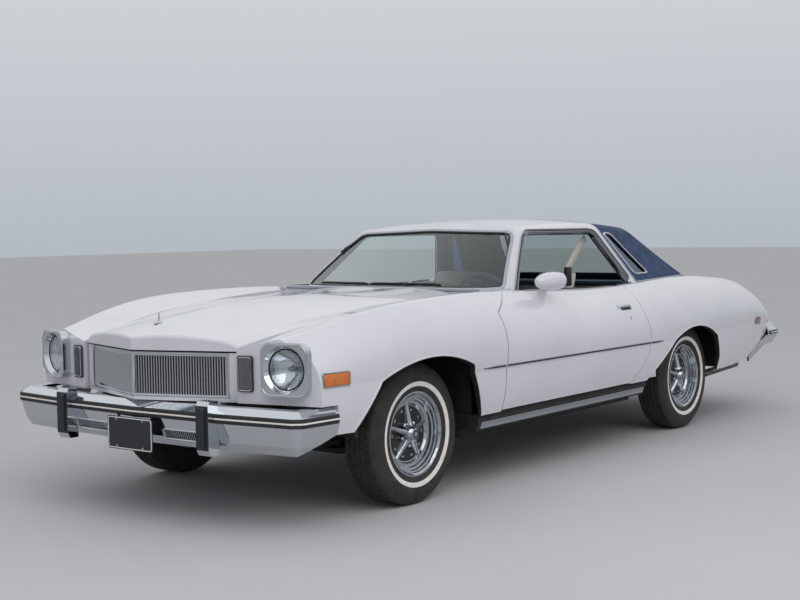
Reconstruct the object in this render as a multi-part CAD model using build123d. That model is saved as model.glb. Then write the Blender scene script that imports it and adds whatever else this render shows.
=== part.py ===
from build123d import *
import math
import os

# Two-door notchback coupe of the middle 1970s, with a half vinyl roof, chrome bumpers and five-spoke wheels.
# X points forward, Y to the car's left and Z up. The origin is on the ground, below the middle of the car.
# All sizes are millimetres.

# Overall sizes
HALF_LENGTH = 2660.5
WHEELBASE = 2845.0
FRONT_AXLE_X = 1640.0
REAR_AXLE_X = FRONT_AXLE_X - WHEELBASE
FRONT_WHEEL_Y = 781.0
REAR_WHEEL_Y = 771.0

# Gaps between panels, and the clearance of a seated piece
SEAM = 6.0
DOOR_GAP = 8.0
SEAT_CLEARANCE = 0.3

# Tyres
TYRE_R = 338.0
TYRE_HALF_WIDTH = 100.0
TREAD_HALF_WIDTH = 68.0
SHOULDER_DROP = 14.0
BEAD_HALF_WIDTH = 81.0
TYRE_SIDE_R = 264.0

# Wheels
RIM_BEAD_R = 190.0
RIM_LIP_R = 203.0
RIM_WELL_R = 166.0
RIM_HALF_WIDTH = 88.0
RIM_WALL = 6.0
DISC_OUT = 26.0
DISC_THICKNESS = 10.0
SPOKE_COUNT = 5
SPOKE_RISE = 22.0
SPOKE_HUB_WIDTH = 40.0
SPOKE_RIM_WIDTH = 32.0
SPOKE_TAPER = 25.0
DISC_HOLE_R = 14.0
DISC_HOLE_PLACE_R = 118.0
HUB_R = 64.0
HUB_DEPTH = 46.0
HUB_BORE_R = 30.0
CAP_R = 44.0
CAP_HEIGHT = 47.0

# Doors
DOOR_FRONT_X = 1040.0
DOOR_INNER_Y = 762.0
DOOR_BOTTOM_Z = 390.0
DOOR_REAR_TAPER = 0.17

# Panel walls
PANEL_WALL = 32.0
HOOD_THICKNESS = 34.0
LID_THICKNESS = 32.0
ROOF_THICKNESS = 38.0
GLASS = 6.0
GLASS_INSET = 9.0
SHEET = 20.0

# Lengthwise places of panel ends
HOOD_REAR_X = 850.0
FIREWALL_X = 1000.0
LID_FRONT_X = -1600.0
LID_REAR_X = -2500.0
QUARTER_REAR_X = -2512.0
TAIL_X = -2590.0
TAIL_BOTTOM_Z = 614.0
TAIL_TOP_X = -2524.0
TAIL_TOP_Z = 752.0
TAIL_EDGE_Z = 640.0
QUARTER_INNER_Y = 700.0
SILL_TOP_Z = 382.0
SILL_BOTTOM_Z = 300.0
FLOOR_Z = 312.0
REAR_FLOOR_Z = 530.0
BOOT_REAR_X = -2490.0

# Body side, one row for each lengthwise station. Columns: x, then z and y of the lower edge, of the widest
# point, of the ridge, and of the seam with the hood or the boot lid.
SIDE = [
    (2500.0, 440.0, 915.0, 640.0, 928.0, 832.0, 728.0, 786.0, 520.0),
    (2250.0, 425.0, 932.0, 640.0, 952.0, 880.0, 790.0, 838.0, 545.0),
    (1900.0, 400.0, 945.0, 632.0, 973.0, 948.0, 846.0, 900.0, 602.0),
    (1450.0, 360.0, 951.0, 612.0, 986.0, 980.0, 858.0, 938.0, 665.0),
    (1000.0, 378.0, 954.0, 600.0, 990.0, 984.0, 826.0, 962.0, 700.0),
    (300.0, 378.0, 955.0, 600.0, 990.0, 958.0, 802.0, 952.0, 712.0),
    (-500.0, 378.0, 955.0, 600.0, 990.0, 948.0, 797.0, 943.0, 690.0),
    (-1205.0, 362.0, 950.0, 608.0, 986.0, 972.0, 800.0, 966.0, 680.0),
    (-1750.0, 360.0, 934.0, 622.0, 972.0, 948.0, 806.0, 943.0, 672.0),
    (-2150.0, 398.0, 908.0, 630.0, 945.0, 893.0, 800.0, 888.0, 664.0),
    (-2420.0, 430.0, 876.0, 610.0, 912.0, 786.0, 786.0, 782.0, 656.0),
    (TAIL_X, 440.0, 856.0, 540.0, 880.0, 628.0, 776.0, 624.0, 650.0),
]
SIDE_X, LOW_Z, LOW_Y, WIDE_Z, WIDE_Y, RIDGE_Z, RIDGE_Y, SEAM_Z, SEAM_Y = range(9)
SIDE_CORE_Y = 500.0
UPPER_BULGE = 0.165
LOWER_BULGE = 0.045
RIDGE_ROUND = 26.0

# Bonnet, one row for each station. Columns: x, centre crease z, shoulder y and z, edge y and z.
HOOD = [
    (2680.0, 815.0, 462.0, 778.0, 505.0, 752.0),
    (2500.0, 884.0, 465.0, 824.0, 520.0, 786.0),
    (2250.0, 933.0, 458.0, 862.0, 545.0, 838.0),
    (1900.0, 965.0, 447.0, 896.0, 602.0, 900.0),
    (1450.0, 978.0, 472.0, 932.0, 665.0, 938.0),
    (HOOD_REAR_X, 985.0, 520.0, 966.0, 704.0, 962.0),
]
HOOD_LIP_Z = 784.0
HOOD_NOSE_R = 16.0

# Front face in plan: the pointed middle with the grille, and the slanted lamp faces beside it
NOSE_PEAK_X = 2628.0
NOSE_SWEEP = 0.321
NOSE_TOP_Z = 776.0
NOSE_BOTTOM_Z = 557.0
GRILLE_HALF_WIDTH = 470.0
GRILLE_BOTTOM_Z = 573.0
GRILLE_SET_BACK = 8.0
GRILLE_FRAME = 14.0
GRILLE_DEPTH = 34.0
GRILLE_BACK = 5.0
GRILLE_BARS = 35
GRILLE_BAR_WIDTH = 7.0
LAMP_FACE_X = 2470.0
LAMP_FACE_Y = 560.0
LAMP_FACE_SWEEP = 0.21

# Boot lid, one row for each station. Columns: x, centre z, edge y and z.
LID = [
    (LID_FRONT_X, 965.0, 674.0, 951.0),
    (-1750.0, 959.0, 672.0, 943.0),
    (-2150.0, 918.0, 664.0, 888.0),
    (-2420.0, 868.0, 656.0, 800.0),
    (-2520.0, 848.0, 653.0, 770.0),
]
LID_LIP_Z = 762.0

# Greenhouse, one row for each station. Columns: x, belt y, side top y and z, roof shoulder y and z, centre z.
ROOF = [
    (1000.0, 758.0, 592.0, 1236.0, 505.0, 1284.0, 1312.0),
    (320.0, 758.0, 592.0, 1256.0, 505.0, 1306.0, 1335.0),
    (-250.0, 758.0, 592.0, 1280.0, 505.0, 1332.0, 1362.0),
    (-850.0, 752.0, 586.0, 1258.0, 500.0, 1308.0, 1337.0),
    (-1600.0, 742.0, 578.0, 1190.0, 490.0, 1235.0, 1262.0),
]
BELT_Z = 940.0

# Curved screens in plan. Columns: z, x at the middle, x and y at the corner.
SCREEN = [(985.0, 800.0, 622.0, 700.0), (1300.0, 330.0, 262.0, 545.0)]
BACKLIGHT = [(962.0, -1546.0, -1496.0, 700.0), (1325.0, -961.0, -916.0, 540.0)]
SCREEN_WALL = 62.0
BACKLIGHT_WALL = 70.0
SCREEN_OPENING = [(-698.0, 990.0), (698.0, 990.0), (566.0, 1250.0), (532.0, 1276.0), (0.0, 1292.0), (-532.0, 1276.0),
                  (-566.0, 1250.0)]
BACKLIGHT_OPENING = [(-610.0, 985.0), (610.0, 985.0), (480.0, 1262.0), (-480.0, 1262.0)]
SIDE_OPENING = [(566.0, 900.0), (566.0, 952.0), (262.0, 1246.0), (215.0, 1270.0), (-470.0, 1270.0), (-512.0, 1250.0),
                (-686.0, 968.0), (-686.0, 900.0)]
OPERA_OPENING = [(-650.0, 1260.0), (-724.0, 1254.0), (-982.0, 1012.0), (-828.0, 1012.0), (-806.0, 1026.0)]
ROOF_SPLIT = [(-800.0, BELT_Z), (-594.0, 1300.0)]

# Wheel openings in side view: front foot, front shoulder, top of the arc, rear shoulder, rear foot
FRONT_ARCH = [(2192.0, 395.0), (2005.0, 632.0), (1650.0, 714.0), (1334.0, 648.0), (1230.0, 390.0)]
REAR_ARCH = [(-512.0, 384.0), (-838.0, 604.0), (-1150.0, 668.0), (-1440.0, 590.0), (-1506.0, 440.0)]
ARCH_CUT_Y = 872.0
REAR_WELL_FRONT_X = -790.0
REAR_WELL_REAR_X = -1640.0
REAR_WELL_TOP_Z = 742.0
REAR_WELL_INNER_Y = 618.0
FRONT_WELL_FRONT_X = 2085.0
FRONT_WELL_REAR_X = 1208.0
FRONT_WELL_TOP_Z = 752.0
FRONT_WELL_INNER_Y = 450.0

# Bumpers in plan, from the middle outwards, on the left
FRONT_BUMPER_LINE = [(2630.0, 0.0), (2612.0, 480.0), (2560.0, 925.0), (2530.0, 958.0), (2315.0, 974.0)]
REAR_BUMPER_LINE = [(-2632.0, 0.0), (-2620.0, 480.0), (-2588.0, 890.0), (-2556.0, 926.0), (-2070.0, 956.0)]
BUMPER_TOP_Z = 552.0
BUMPER_DEPTH = 80.0
BUMPER_WALL = 12.0
REAR_BUMPER_TOP_Z = 608.0
REAR_BUMPER_BOTTOM_Z = 450.0

# Face of each bumper, from its lower edge up. Columns: z, and how far the face lies inside the plan line.
FRONT_FACE = [(360.0, 46.0), (400.0, 22.0), (486.0, 0.0), (524.0, 0.0), (BUMPER_TOP_Z, 40.0)]
REAR_FACE = [(350.0, 36.0), (450.0, 36.0), (500.0, 4.0), (520.0, 0.0), (545.0, 0.0), (REAR_BUMPER_TOP_Z, 50.0)]

# Rear end of the quarter panel in side view, where the bumper's end passes behind it. Columns: x, z.
QUARTER_TAIL = [(-2402.0, 614.0), (-2384.0, 530.0), (-2072.0, 396.0)]
BUMPER_END_DROP = 42.0
PLATE_WIDTH = 305.0
PLATE_HEIGHT = 152.0
PLATE_THICKNESS = 3.0
PLATE_X = 2646.0
PLATE_Z = 402.0
PLATE_HOLE_PITCH = 177.8
PLATE_HOLE_R = 3.5
REAR_BRACKET_X = 2646.0
GUARD_Y = 480.0
GUARD_WIDTH = 75.0
GUARD_PAD_WIDTH = 42.0
GUARD_PAD = 6.5
GUARD_BOTTOM_Z = 343.0
GUARD_TOP_Z = 581.0
REAR_GUARD_BOTTOM_Z = 436.0
REAR_GUARD_TOP_Z = 624.0

# Headlamps
HEADLAMP_Y = 783.0
HEADLAMP_Z = 716.0
HEADLAMP_R = 89.0
HEADLAMP_BORE_R = 92.0
HEADLAMP_DEPTH = 70.0
HEADLAMP_DOME = 16.0
BEZEL_SIZE = 232.0
BEZEL_CORNER_R = 46.0
BEZEL_DEPTH = 40.0
BEZEL_FUNNEL = 22.0
BEZEL_MOUTH_R = 104.0

# Steering wheel
STEERING_RIM_R = 190.0
STEERING_Y = 400.0

# Front suspension and steering
KINGPIN_Y = 650.0
KINGPIN_R = 12.0
KINGPIN_LOW_Z = 226.0
KINGPIN_HIGH_Z = 476.0
SPINDLE_REACH = 44.0
ARM_THICKNESS = 20.0

# Frame rail on the left, one row for each station. Columns: x, y, z of its middle.
RAIL = [
    (2520.0, 400.0, 500.0),
    (2250.0, 400.0, 500.0),
    (1980.0, 400.0, 330.0),
    (1300.0, 400.0, 330.0),
    (1020.0, 640.0, 262.0),
    (-804.0, 640.0, 262.0),
    (-922.0, 520.0, 470.0),
    (-2510.0, 520.0, 470.0),
]
RAIL_WIDTH = 70.0
RAIL_HEIGHT = 90.0


def between(table, x, column):
    """Value of one column of a station table at x, in a straight line between rows."""
    for fore, aft in zip(table, table[1:]):
        if fore[0] >= x >= aft[0]:
            share = (fore[0] - x) / (fore[0] - aft[0])
            return fore[column] + share * (aft[column] - fore[column])
    return table[0][column] if x > table[0][0] else table[-1][column]


def block(x0, x1, y0, y1, z0, z1):
    """Box between two corners."""
    size = (abs(x1 - x0), abs(y1 - y0), abs(z1 - z0))
    return Pos((x0 + x1) / 2, (y0 + y1) / 2, (z0 + z1) / 2) * Box(*size)


def rod(x, y, z, radius, length, along):
    """Round bar that starts at a point and runs along an axis direction."""
    return extrude(Plane((x, y, z), z_dir=along) * Circle(radius), amount=length)


def arc(start, end, bulge):
    """Arc in a cross-section, whose middle stands off the chord by a share of its length."""
    a = Vector(*start)
    b = Vector(*end)
    chord = b - a
    normal = Vector(0, -chord.Z, chord.Y)
    return ThreePointArc(a, (a + b) * 0.5 + normal * bulge, b)


def plan_prism(points, z0, z1):
    """Upright prism over an outline of x, y points."""
    outline = Polyline(*[(x, y, z0) for x, y in points], close=True)
    return extrude(make_face(outline), amount=z1 - z0, dir=(0, 0, 1))


def side_prism(points, y0, y1):
    """Prism across the car over an outline of x, z points."""
    outline = Polyline(*[(x, y0, z) for x, z in points], close=True)
    return extrude(make_face(outline), amount=y1 - y0, dir=(0, 1, 0))


def front_prism(points, x0, x1):
    """Prism along the car over an outline of y, z points."""
    outline = Polyline(*[(x0, y, z) for y, z in points], close=True)
    return extrude(make_face(outline), amount=x1 - x0, dir=(1, 0, 0))


def other_side(shape):
    """Mirror image on the car's right."""
    return mirror(shape, about=Plane.XZ)


def pair(shape):
    """A piece and its mirror image, as two solids that don't touch."""
    return Compound([shape, other_side(shape)])


def side_section(row, inset, drop):
    """Closed outline of the left body side: lower edge, widest point, ridge, seam and back inside."""
    x = row[SIDE_X]
    low = (x, row[LOW_Y] - inset, row[LOW_Z] - drop)
    wide = (x, row[WIDE_Y] - inset, row[WIDE_Z])
    ridge_out = (x, row[RIDGE_Y] + RIDGE_ROUND - inset * 0.9, row[RIDGE_Z] - RIDGE_ROUND * 0.62 - inset)
    ridge_top = (x, row[RIDGE_Y] - inset * 0.5, row[RIDGE_Z] - inset)
    ridge_in = (x, row[RIDGE_Y] - RIDGE_ROUND * 1.3, row[RIDGE_Z] - 3.0 - inset)
    seam = (x, row[SEAM_Y], row[SEAM_Z] - inset)
    core_top = (x, SIDE_CORE_Y, row[SEAM_Z] - inset)
    core_low = (x, SIDE_CORE_Y, row[LOW_Z] - drop)
    return Wire([
        arc(low, wide, -LOWER_BULGE),
        arc(wide, ridge_out, -UPPER_BULGE),
        ThreePointArc(ridge_out, ridge_top, ridge_in),
        Line(ridge_in, seam),
        Line(seam, core_top),
        Line(core_top, core_low),
        Line(core_low, low),
    ])


def side_body(inset=0.0, drop=0.0):
    """Left body side as one block from the core plane out to the skin, or to an inset of it."""
    return Solid.make_loft([side_section(row, inset, drop) for row in SIDE])


def arch_cut(points, inner_y):
    """Wheel opening through the skin."""
    front, fore, top, aft, rear = [(x, inner_y, z) for x, z in points]
    outline = [
        Line((front[0], inner_y, 0), front),
        Line(front, fore),
        ThreePointArc(fore, top, aft),
        Line(aft, rear),
        Line(rear, (rear[0], inner_y, 0)),
        Line((rear[0], inner_y, 0), (front[0], inner_y, 0)),
    ]
    return extrude(Face(Wire(outline)), amount=1100.0 - inner_y, dir=(0, 1, 0))


def door_block(gap, inner_y):
    """Left door as a block: its outline in side view, with the rear edge cut back towards the cabin."""
    top = 1060.0
    outline = [
        (DOOR_FRONT_X + gap, DOOR_BOTTOM_Z - gap),
        (DOOR_FRONT_X + gap, 880.0 + gap * 0.5),
        (926.0 + gap, 928.0 + gap),
        (810.0 + gap, 985.0),
        (810.0 + gap, top),
        (-560.0 - gap, top),
        (-540.0 - gap, 940.0),
        (-488.0 - gap, 870.0),
        (-478.0 - gap, 790.0),
        (-502.0 - gap, 640.0),
        (-488.0 - gap, 560.0),
        (-440.0 - gap, 490.0),
        (-330.0 - gap * 0.8, 410.0 - gap * 0.6),
        (-315.0 - gap * 0.8, DOOR_BOTTOM_Z - gap),
    ]
    outer_y = 1010.0
    sections = []
    for y in (outer_y, inner_y):
        shift = (outer_y - y) * DOOR_REAR_TAPER
        points = [(x + (shift if x < 0 else 0.0), y, z) for x, z in outline]
        sections.append(Wire(Polyline(*points, close=True).edges()))
    return Solid.make_loft(sections, ruled=True)


def lamp_face_x(y):
    return LAMP_FACE_X - (y - LAMP_FACE_Y) * LAMP_FACE_SWEEP


def nose_x(y):
    return NOSE_PEAK_X - abs(y) * NOSE_SWEEP


def front_fender(skin, lining, doorway):
    """Left front wing: a shell with a lamp face in front and a post behind, open to the wheel."""
    edge = [(x, between(SIDE, x, SEAM_Y) + SEAM / 2) for x in (1000.0, 1450.0, 1900.0, 2250.0)]
    corner_y = between(SIDE, 2477.0, SEAM_Y) + SEAM / 2
    plan = [(lamp_face_x(corner_y), corner_y), (lamp_face_x(1100.0), 1100.0), (700.0, 1100.0), (700.0, 750.0),
            (HOOD_REAR_X, 750.0), (HOOD_REAR_X, between(SIDE, HOOD_REAR_X, SEAM_Y) + SEAM / 2)] + edge
    wing = skin & plan_prism(plan, 0.0, 1100.0)
    wall = PANEL_WALL
    room = [(lamp_face_x(450.0) - wall, 450.0), (lamp_face_x(1100.0) - wall, 1100.0),
            (DOOR_FRONT_X + DOOR_GAP + wall, 1100.0), (DOOR_FRONT_X + DOOR_GAP + wall, 450.0)]
    wing = wing - (lining & plan_prism(room, 0.0, 1100.0))
    wing = wing - arch_cut(FRONT_ARCH, ARCH_CUT_Y)
    wing = wing - doorway
    wing = wing - block(1300.0, 600.0, 400.0, 1100.0, 0.0, SILL_TOP_Z)
    wing = wing - block(2600.0, 2292.0, 400.0, 1100.0, 0.0, BUMPER_TOP_Z + SEAM)
    return wing - lamp_place() * rod(-120.0, 0.0, 0.0, HEADLAMP_BORE_R, 200.0, (1, 0, 0))


def lamp_place():
    """Frame of the left headlamp, on the slanted lamp face, with its X axis along the beam."""
    return Pos(lamp_face_x(HEADLAMP_Y), HEADLAMP_Y, HEADLAMP_Z) * Rot(0, 0, math.degrees(math.atan(LAMP_FACE_SWEEP)))


def headlamp_bezel():
    plate = extrude(Plane.YZ * RectangleRounded(BEZEL_SIZE, BEZEL_SIZE, BEZEL_CORNER_R), amount=BEZEL_DEPTH)
    ring = plate - rod(-1.0, 0.0, 0.0, HEADLAMP_R + SEAT_CLEARANCE, BEZEL_DEPTH + 2.0, (1, 0, 0))
    funnel = Cone(HEADLAMP_R + SEAT_CLEARANCE, BEZEL_MOUTH_R, BEZEL_FUNNEL)
    return lamp_place() * (ring - Pos(BEZEL_DEPTH - BEZEL_FUNNEL / 2, 0, 0) * Rot(0, 90, 0) * funnel)


def headlamp():
    """Round sealed lamp with a domed lens."""
    depth = HEADLAMP_DEPTH
    dome = HEADLAMP_DOME
    front = BEZEL_DEPTH - 24.0
    outline = Wire([
        Line((-depth, 0, 0), (front + dome, 0, 0)),
        ThreePointArc((front + dome, 0, 0), (front + dome * 0.72, HEADLAMP_R * 0.53, 0), (front, HEADLAMP_R, 0)),
        Line((front, HEADLAMP_R, 0), (-depth * 0.4, HEADLAMP_R, 0)),
        Line((-depth * 0.4, HEADLAMP_R, 0), (-depth, HEADLAMP_R * 0.4, 0)),
        Line((-depth, HEADLAMP_R * 0.4, 0), (-depth, 0, 0)),
    ])
    return lamp_place() * revolve(Face(outline), axis=Axis.X)


def parking_lamp():
    """Upright lamp with a frame, on the lamp face beside the grille."""
    width = 78.0
    height = 158.0
    y = 572.0
    place = Pos(lamp_face_x(y), y, 690.0) * Rot(0, 0, math.degrees(math.atan(LAMP_FACE_SWEEP)))
    frame = extrude(Plane.YZ * RectangleRounded(width, height, 10.0), amount=10.0)
    lens = extrude(Plane.YZ * RectangleRounded(width - 20.0, height - 20.0, 6.0), amount=14.0)
    return place * (frame + lens)


def hood_section(row, deeper, wider):
    x, crease, shoulder_y, shoulder_z, edge_y, edge_z = row
    edge_y = edge_y + 20.0 + wider
    floor = 560.0
    top = [(-edge_y, edge_z), (-shoulder_y, shoulder_z), (0.0, crease), (shoulder_y, shoulder_z), (edge_y, edge_z)]
    points = [(x, y, z - deeper) for y, z in top]
    edges = [Line(points[0], points[1]), arc(points[1], points[2], 0.02), arc(points[2], points[3], 0.02)]
    edges += [Line(points[3], points[4]), Line(points[4], (x, edge_y, floor))]
    edges += [Line((x, edge_y, floor), (x, -edge_y, floor)), Line((x, -edge_y, floor), points[0])]
    return Wire(edges)


def hood():
    """Bonnet panel with a centre crease, and a lip turned down above the grille."""
    outer = Solid.make_loft([hood_section(row, 0.0, 0.0) for row in HOOD])
    inner = Solid.make_loft([hood_section(row, HOOD_THICKNESS, 40.0) for row in HOOD])
    edge = [(x, between(SIDE, x, SEAM_Y) - SEAM / 2) for x in (2477.0, 2250.0, 1900.0, 1450.0, 1000.0, HOOD_REAR_X)]
    edge[0] = (nose_x(edge[0][1]), edge[0][1])
    clip = [(NOSE_PEAK_X, 0.0)] + edge + [(x, -y) for x, y in reversed(edge)]
    panel = outer & plan_prism(clip, HOOD_LIP_Z, 1100.0)
    side = 900.0
    lip = HOOD_THICKNESS
    room = [(NOSE_PEAK_X - lip, 0.0), (nose_x(side) - lip, side), (HOOD_REAR_X - lip, side),
            (HOOD_REAR_X - lip, -side), (nose_x(side) - lip, -side)]
    panel = panel - (inner & plan_prism(room, 500.0, 1100.0))
    nose = [edge for edge in panel.edges() if edge.center().Z > HOOD_LIP_Z + 14.0
            and all(abs((edge @ place).X - nose_x((edge @ place).Y)) < 0.5 for place in (0.0, 0.5, 1.0))]
    return fillet(nose, HOOD_NOSE_R)


def v_band(front, depth, half_width, z0, z1):
    """Pointed band across the nose, a given depth thick along X."""
    sweep = half_width * NOSE_SWEEP
    points = [(front, 0.0), (front - sweep, half_width), (front - sweep - depth, half_width),
              (front - depth, 0.0), (front - sweep - depth, -half_width), (front - sweep, -half_width)]
    return plan_prism(points, z0, z1)


def nose_panel(bonnet):
    """Lower front panel between the wings, with a post on each side of the grille and the bonnet's rests."""
    half_width = 520.0
    front = NOSE_PEAK_X - GRILLE_SET_BACK
    depth = 60.0
    panel = v_band(front, depth, half_width, NOSE_BOTTOM_Z, GRILLE_BOTTOM_Z - SEAT_CLEARANCE)
    posts = v_band(front, depth, half_width, NOSE_BOTTOM_Z, NOSE_TOP_Z)
    hole = block(2800.0, 2000.0, -GRILLE_HALF_WIDTH - SEAT_CLEARANCE, GRILLE_HALF_WIDTH + SEAT_CLEARANCE, 0.0, 1000.0)
    panel = panel + (posts - hole)
    rest_y = 496.0
    for y in (rest_y, -rest_y):
        rest = rod(nose_x(rest_y) - 42.0, y, NOSE_TOP_Z, 10.0, 60.0, (0, 0, 1))
        panel = panel + (rest - Pos(0, 0, -SEAT_CLEARANCE) * bonnet - block(2800.0, 2000.0, -600.0, 600.0, 790.0, 1000.0))
        foot_y = math.copysign(RAIL[0][1], y)
        panel = panel + block(2488.0, 2440.0, foot_y - 20.0, foot_y + 20.0, RAIL[0][2] + RAIL_HEIGHT / 2, 570.0)
    return panel


def grille():
    """Pointed grille: a frame with upright bars on a dark back plate."""
    front = NOSE_PEAK_X - GRILLE_SET_BACK
    half = GRILLE_HALF_WIDTH
    outer = v_band(front, GRILLE_DEPTH, half, GRILLE_BOTTOM_Z, NOSE_TOP_Z)
    hole = v_band(front + 1.0, GRILLE_DEPTH - GRILLE_BACK + 1.0, half - GRILLE_FRAME, GRILLE_BOTTOM_Z + GRILLE_FRAME,
                  NOSE_TOP_Z - GRILLE_FRAME)
    shape = outer - hole
    pitch = (half - GRILLE_FRAME) / (GRILLE_BARS + 0.5)
    bars = []
    for index in range(GRILLE_BARS + 1):
        y = index * pitch
        x = front - 4.0 - y * NOSE_SWEEP
        bar = block(x, x - GRILLE_DEPTH + GRILLE_BACK + 2.0, y - GRILLE_BAR_WIDTH / 2, y + GRILLE_BAR_WIDTH / 2,
                    GRILLE_BOTTOM_Z + GRILLE_FRAME, NOSE_TOP_Z - GRILLE_FRAME)
        bars.append(bar)
        if index:
            bars.append(other_side(bar))
    return shape + bars


def shift_line(points, distance):
    """Open plan line moved towards its inner side by a distance, with mitred corners."""
    moved = []
    for index, (x, y) in enumerate(points):
        before = points[max(index - 1, 0)]
        after = points[min(index + 1, len(points) - 1)]
        normals = []
        for (ax, ay), (bx, by) in (((before), (x, y)), ((x, y), (after))):
            length = math.hypot(bx - ax, by - ay)
            if length > 0:
                normals.append(((by - ay) / length, -(bx - ax) / length))
        nx = sum(n[0] for n in normals)
        ny = sum(n[1] for n in normals)
        scale = 1.0 / (nx * normals[0][0] + ny * normals[0][1]) if len(normals) > 1 else 1.0
        moved.append((x - nx * distance * scale, y - ny * distance * scale))
    return moved


def bumper_line(line, inset):
    """Whole bumper line from right to left, moved inwards."""
    sign = 1.0 if line[0][0] > 0 else -1.0
    left = [(sign * x, y) for x, y in line]
    whole = [(x, -y) for x, y in reversed(left[1:])] + left
    return [(sign * x, y) for x, y in shift_line(whole, inset)]


def bumper_block(line, face, inset=0.0, reach=0.0):
    """Ruled block behind a bumper's face, or behind a parallel of it, drawn forward at its two ends by a reach."""
    sign = math.copysign(1.0, line[0][0])
    sections = []
    for z, back in face:
        points = bumper_line(line, back + inset)
        if reach:
            points = [(points[0][0] - sign * reach, points[0][1])] + points + [(points[-1][0] - sign * reach, points[-1][1])]
        sections.append(Wire(Polyline(*[(x, y, z) for x, y in points], close=True).edges()))
    return Solid.make_loft(sections, ruled=True)


def bumper_bar(line, face):
    """Face bar: a shell along the line, open behind and below."""
    sign = math.copysign(1.0, line[0][0])
    corner = ((line[2][0] + line[3][0]) / 2, (line[2][1] + line[3][1]) / 2)
    back = bumper_line(line[:2] + [corner] + line[4:], BUMPER_DEPTH)
    back = [(back[0][0] - sign * 60.0, back[0][1])] + back + [(back[-1][0] - sign * 60.0, back[-1][1])]
    lowered = [(z - (10.0 if index == 0 else 0.0), inset) for index, (z, inset) in enumerate(face)]
    top_z, top_inset = face[-1]
    lowered[-1] = (top_z - BUMPER_WALL, top_inset - 2.0)
    room = bumper_block(line, lowered, BUMPER_WALL, 60.0)
    return bumper_block(line, face) - plan_prism(back, 300.0, 700.0) - room


def front_bumper():
    """Chrome face bar with two slots beside the plate, the plate's bracket and an arm at each frame rail."""
    bar = bumper_bar(FRONT_BUMPER_LINE, FRONT_FACE)
    sweep = side_prism([(2700.0, 350.0), (2545.0, 350.0), (2300.0, 440.0), (2250.0, 440.0), (2250.0, 300.0), (2700.0, 300.0)],
                       -1100.0, 1100.0)
    bar = bar - sweep
    for y in (180.0, -440.0):
        bar = bar - block(2700.0, 2500.0, y, y + 260.0, 388.0, 436.0)
    arms = [block(2560.0, 2520.0, y - 35.0, y + 35.0, 455.0, 545.0) for y in (400.0, -400.0)]
    bracket = block(PLATE_X, 2612.0, -PLATE_HOLE_PITCH / 2 - 14.0, PLATE_HOLE_PITCH / 2 + 14.0, 400.0, 470.0)
    return bar + arms + bracket


def number_plate():
    """Blank plate on the front bracket."""
    return Pos(PLATE_X + PLATE_THICKNESS / 2, 0, PLATE_Z) * Rot(0, 90, 0) * extrude(
        RectangleRounded(PLATE_HEIGHT, PLATE_WIDTH, 12.0), amount=PLATE_THICKNESS / 2, both=True)


def quarter_tail(gap, lower):
    """Space in side view behind the slanted rear end of the quarter panel, moved back by a gap and down."""
    (x0, z0), (x1, z1), (x2, z2) = QUARTER_TAIL
    points = [(x0 - gap, z0 + 60.0), (x0 - gap, z0 - lower), (x1 - gap, z1 - lower), (x2, z2 - gap - lower), (x2, 200.0),
              (-2900.0, 200.0), (-2900.0, z0 + 60.0)]
    return side_prism(points, -1100.0, 1100.0)


def rear_bumper():
    """Chrome face bar whose ends sweep down along the quarter panels, with the plate's bracket and two arms."""
    bar = bumper_bar(REAR_BUMPER_LINE, REAR_FACE) & quarter_tail(SEAM, 0.0)
    low = REAR_BUMPER_BOTTOM_Z
    below = side_prism([(-2700.0, low), (-2470.0, low), (-2380.0, 530.0 - 2.0 * BUMPER_END_DROP),
                        (-2060.0, 396.0 - BUMPER_END_DROP), (-2060.0, 300.0), (-2700.0, 300.0)], -1100.0, 1100.0)
    bar = bar - below
    arms = [block(-2510.0, -2585.0, y - 30.0, y + 30.0, 462.0, 506.0) for y in (520.0, -520.0)]
    half = PLATE_HOLE_PITCH / 2
    bracket = block(-2624.0, -REAR_BRACKET_X, -half - 14.0, half + 14.0, PLATE_Z, PLATE_Z + 128.0)
    for y in (half, -half):
        bracket = bracket - rod(-REAR_BRACKET_X - 1.0, y, PLATE_Z + 30.0, PLATE_HOLE_R, 40.0, (1, 0, 0))
    return bar + arms + bracket


def guard(line, face_table, low, high):
    """Upright bumper guard on the left, with a narrower pad on its face, cut to the bumper behind it."""
    sign = math.copysign(1.0, line[0][0])
    back = abs(line[1][0]) - 22.0
    face = HALF_LENGTH - GUARD_PAD
    body = [(back, high), (face - 14.0, high), (face, high - 24.0), (face, low + 30.0), (face - 16.0, low), (back, low)]
    pad = [(face - 3.0, high - 22.0), (HALF_LENGTH, high - 34.0), (HALF_LENGTH, low + 40.0), (face - 3.0, low + 28.0)]
    shape = side_prism([(sign * x, z) for x, z in body], GUARD_Y - GUARD_WIDTH / 2, GUARD_Y + GUARD_WIDTH / 2)
    shape = shape + side_prism([(sign * x, z) for x, z in pad], GUARD_Y - GUARD_PAD_WIDTH / 2, GUARD_Y + GUARD_PAD_WIDTH / 2)
    shape = shape - bumper_block(line, face_table, -SEAT_CLEARANCE)
    return shape.solids().sort_by(lambda s: s.volume)[-1]


def bumper_guards():
    """Guards in front and behind, each against its face bar."""
    front = guard(FRONT_BUMPER_LINE, FRONT_FACE, GUARD_BOTTOM_Z, GUARD_TOP_Z)
    rear = guard(REAR_BUMPER_LINE, REAR_FACE, REAR_GUARD_BOTTOM_Z, REAR_GUARD_TOP_Z)
    return Compound([front, rear, other_side(front), other_side(rear)])


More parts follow.
